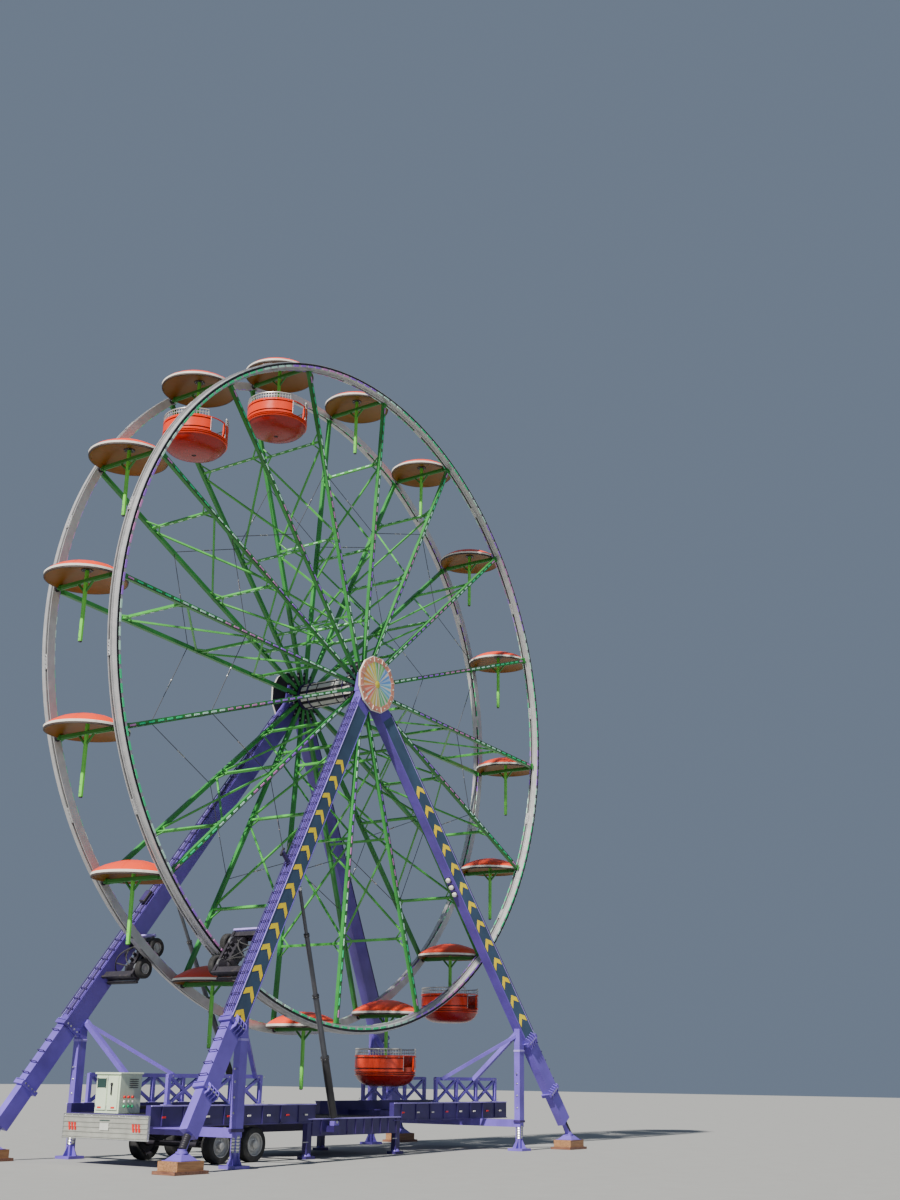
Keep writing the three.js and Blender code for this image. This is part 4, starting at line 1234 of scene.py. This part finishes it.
# Cables that run along the trailer beams to the cabinet.
cables = Form()
for i, z in enumerate((1.05, 1.075, 1.10)):
    route = [(-5.95, 0.1 + 0.04 * i, 1.06), (-5.7, 0.3, 1.03 + 0.02 * i), (-5.5, 0.95, z), (-5.2, 1.085, z),
             (-3.0, 1.095, z), (-1.6, 1.095, z)]
    cables.rod(route, 0.012, hose, 8)
cables.finish("trailer_cables", "base", "trailer_purple")

# Electric cabinet: doors with hinges and a handle, a window, lamps, louvres, sockets and a lid.
CABINET_FRONT, CABINET_SIDE = -6.552, -0.219
DOOR_LOW, DOOR_TOP, WINDOW_LOW, WINDOW_TOP = 1.066, 1.724, 1.50, 1.68
cab = Form()


def on_front(low, high, y0, y1, z0, z1, coat, chamfer):
    """A box on the cabinet's front, from low to high above its face."""
    cab.box((CABINET_FRONT - high, y0, z0), (CABINET_FRONT - low, y1, z1), coat, chamfer)


for y0, y1 in ((-0.165, 0.145), (0.165, 0.475)):
    on_front(-0.002, 0.010, y0 + 0.006, y1 - 0.006, DOOR_LOW, DOOR_TOP, cabinet, 0.006)
    for z in (DOOR_LOW + 0.064, DOOR_TOP - 0.064):
        cab.rod_at(Vector((CABINET_FRONT - 0.012, y1 - 0.002, z)), Z * 0.03, 0.009, bright, 10)
on_front(0.009, 0.016, 0.20, 0.44, WINDOW_LOW, WINDOW_TOP, screen, 0.004)
for y in (0.19, 0.44):
    on_front(0.008, 0.02, y, y + 0.01, WINDOW_LOW - 0.01, WINDOW_TOP + 0.01, machine, 0.002)
on_front(0.009, 0.03, 0.00, 0.035, 1.36, 1.56, machine, 0.006)
lamp = (CABINET_FRONT - 0.008, 0.018, 1.57)
cab.turn([(0.0, 0.03), (0.028, 0.028), (0.032, 0.0)], machine, lamp, -X, 16)
for y in (-0.10, 0.30):
    on_front(0.008, 0.016, y, y + 0.11, 1.095, 1.13, red_lens, 0.004)
for i in range(5):
    z = 1.50 + 0.04 * i
    cab.box((-6.30, CABINET_SIDE - 0.009, z), (-6.06, CABINET_SIDE, z + 0.015), machine, 0.002)
for i in range(3):
    for j, tone in enumerate((red_lens, white, lamps["green"])):
        at = (-6.42 + 0.11 * i, CABINET_SIDE - 0.001, 1.32 - 0.09 * j)
        cab.turn([(0.0, 0.035), (0.022, 0.034), (0.030, 0.0)], tone, at, -Y, 16)
cab.box((-6.57, -0.235, 1.765), (-5.93, 0.54, 1.800), cabinet, 0.008)
cab.finish("cabinet_doors", "base", "cabinet_green")
dress(cabinet, "electric_cabinet")

# Tail board: slanted lamps, bright edges, bolts and a bare plate.
TAIL_FACE, TAIL_EDGE = -TRAILER_X - 0.0583, -TRAILER_X - 0.060
TAIL_LOW, TAIL_TOP, LAMP_LOW, LAMP_TOP = 0.50, 0.98, 0.665, 0.815
tail = Form()
for side in (-1, 1):
    for i in range(3):
        y = side * (0.86 + 0.085 * i)
        slant = ((y - 0.022, LAMP_LOW), (y + 0.022, LAMP_LOW), (y + 0.052, LAMP_TOP), (y + 0.008, LAMP_TOP))
        tail.plate([(TAIL_FACE, *point) for point in slant], -X, 0.012, red_lens)
    y = side * BEAM_OUT
    tail.box((TAIL_EDGE, y - 0.012, TAIL_LOW), (-TRAILER_X - 0.005, y, TAIL_TOP), bright, 0.003)
for z in (TAIL_LOW, TAIL_TOP - 0.018):
    tail.box((TAIL_EDGE, -BEAM_OUT, z), (-TRAILER_X - 0.02, BEAM_OUT, z + 0.015), bright, 0.003)
for y in spread(-1.2, 1.2, 13):
    tail.bolt((TAIL_FACE + 0.002, y, 0.95), -X, 0.008)
tail.box((TAIL_FACE - 0.006, -0.15, 0.86), (TAIL_FACE, 0.15, 0.875), screen, 0.002)
tail.box((TAIL_FACE - 0.008, -0.13, 0.68), (TAIL_FACE, 0.13, 0.82), panel, 0.004)
tail.finish("tail_lamps", "base", "tail_aluminium")
dress(aluminium, "tail_board")


# Road wheels on two axles, with leaf springs.
SPRING_Y, HANGER_TOP = 0.63, BEAM_LOW + 0.0195


def road_wheel(form, x, sy):
    at = Vector((x, 0, ROAD_TYRE_Z))
    tread = [(0.235, 1.215), (0.30, 1.225), (0.335, 1.215), (0.3575, 1.195)]
    for i in range(6):
        y = 1.18 - 0.035 * i
        tread += [(0.360, y), (0.349, y - 0.004), (0.349, y - 0.010), (0.360, y - 0.014)]
    tread += [(0.3575, 0.975), (0.335, 0.958), (0.30, 0.95), (0.235, 0.96)]
    disc = [(0.235, 1.215), (0.222, 1.212), (0.215, 1.16), (0.19, 1.13), (0.16, 1.135), (0.13, 1.165),
            (0.085, 1.17), (0.08, 1.235), (0.06, 1.245), (0.0, 1.245)]
    form.turn(tread, black_rubber, at, Y, 56, flip=sy)
    form.turn(disc, rail_grey, at, Y, 48, flip=sy)
    form.turn([(0.235, 0.96), (0.20, 0.99), (0.07, 0.99)], machine, at, Y, 32, flip=sy)
    form.bolt_circle(at, sy * 1.168, sy, 0.105, 10, 0.013)


def leaf_spring(form, x, y):
    for i in range(6):
        reach, z = 0.50 - 0.07 * i, 0.50 - 0.016 * i
        points = [(x + reach * u, y, z + 0.05 * u * u) for u in (-1, -0.6, -0.2, 0.2, 0.6, 1)]
        for start, end in zip(points, points[1:]):
            form.bar(start, end, 0.10, 0.012, Y, machine, 0.001)
    form.box_at((x, y, 0.465), (0.07, 0.06, 0.065), machine, 0.006)


road = Form()
for x in ROAD_AXLES_X:
    road.rod_at(Vector((x, 0, ROAD_TYRE_Z)), Y * 1.2, 0.062, machine, 20)
    for sy in (-1, 1):
        road_wheel(road, x, sy)
        leaf_spring(road, x, sy * SPRING_Y)
for y in (-SPRING_Y, SPRING_Y):
    for x in (-4.98, -3.98, -2.97):
        road.box((x - 0.06, y - 0.055, 0.50), (x + 0.06, y + 0.055, HANGER_TOP), machine, 0.006)
    road.box((-5.05, y - 0.07, 0.70), (-2.90, y + 0.07, HANGER_TOP), machine, 0.01)
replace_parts(road.finish("road_wheels", "base", "axle_black"), "road_axles")

# Outriggers: base gussets, screws, clamps and pins.
RIG_PLATE, SCREW_LOW, SCREW_TOP, CLAMP_Z, CAP_Z, PIN_Z = 0.0605, 0.30, 0.63, 0.72, 2.475, 1.9
rigging = Form()
for x in (-OUTRIGGER_X, OUTRIGGER_X):
    for y in (-OUTRIGGER_Y, OUTRIGGER_Y):
        ways = ((1, 0), (-1, 0), (0, 1), (0, -1))
        foot_ribs(rigging, Vector((x, y, 0)), ways, (0.068, 0.205), (RIG_PLATE, SCREW_LOW), 0.012)
        rigging.screw((x, y, SCREW_LOW), (x, y, SCREW_TOP), 11, 0.094, 0.082, bright)
        rigging.box_at((x, y, CLAMP_Z), (0.125, 0.10, 0.03), purple_dark, 0.008)
        rigging.box_at((x, y, CAP_Z), (0.12, 0.095, 0.025), lilac_trim_and_highlight, 0.008)
        rigging.rod_at(Vector((x, y, PIN_Z)), X * 0.15, 0.02, bright, 12)
        for z in (1.05, 1.35, 1.65):
            for side in (-1, 1):
                rigging.bolt((x + side * 0.1105, y, z), X * side, 0.018)
rigging.finish("outrigger_trim", "base", "trailer_purple")

# Floor, light and camera.
FLOOR_HALF, FLOOR_TILES, FLOOR_Z = 160.0, 8, -0.002
SKY_COLOR, SKY_STRENGTH = (0.52, 0.66, 0.90, 1.0), 0.30
floor = bmesh.new()
bmesh.ops.create_grid(floor, x_segments=FLOOR_TILES, y_segments=FLOOR_TILES, size=FLOOR_HALF,
                      matrix=Matrix.Translation((0, 0, FLOOR_Z)))
floor_data = bpy.data.meshes.new("studio_floor")
floor.to_mesh(floor_data)
floor.free()
floor_data.materials.append(paint("studio_floor", (0.30, 0.305, 0.30), 0.85, 0.03, 0.02, 0.02))
ground = add("studio_floor", floor_data)

world = bpy.data.worlds.new("studio")
world.use_nodes = True
sky = world.node_tree.nodes["Background"]
sky.inputs["Color"].default_value = SKY_COLOR
sky.inputs["Strength"].default_value = SKY_STRENGTH
bpy.context.scene.world = world


def sun(name, source, strength, size, color):
    """A sun in the direction of its source, size degrees wide."""
    data = bpy.data.lights.new(name, "SUN")
    data.energy = strength
    data.angle = radians(size)
    data.color = color
    light = add(name, data)
    light.rotation_mode = "QUATERNION"
    light.rotation_quaternion = Vector(source).to_track_quat("Z", "Y")


sun("key_light", (-0.70, -0.07, 0.71), 8.5, 1.5, (1.0, 0.95, 0.87))
sun("fill_light", (-0.45, -0.85, 0.15), 0.3, 40.0, (0.86, 0.92, 1.0))

CAMERA_AT = Vector((-27.809, -23.140, 1.787))
YAW, PITCH, ROLL = radians(55.149), radians(18.839), radians(0.734)
FOCAL_PIXELS, FRAME_PIXELS, SENSOR = 1398.93, 1200.0, 36.0
camera_data = bpy.data.cameras.new("camera")
camera_data.sensor_fit = "VERTICAL"
camera_data.sensor_height = SENSOR
camera_data.lens = SENSOR * FOCAL_PIXELS / FRAME_PIXELS
camera_data.clip_end = 400.0
camera = add("camera", camera_data)
aim = Matrix.Rotation(-YAW, 4, "Z") @ Matrix.Rotation(pi / 2 + PITCH, 4, "X") @ Matrix.Rotation(ROLL, 4, "Z")
camera.matrix_world = Matrix.Translation(CAMERA_AT) @ aim
bpy.context.scene.camera = camera
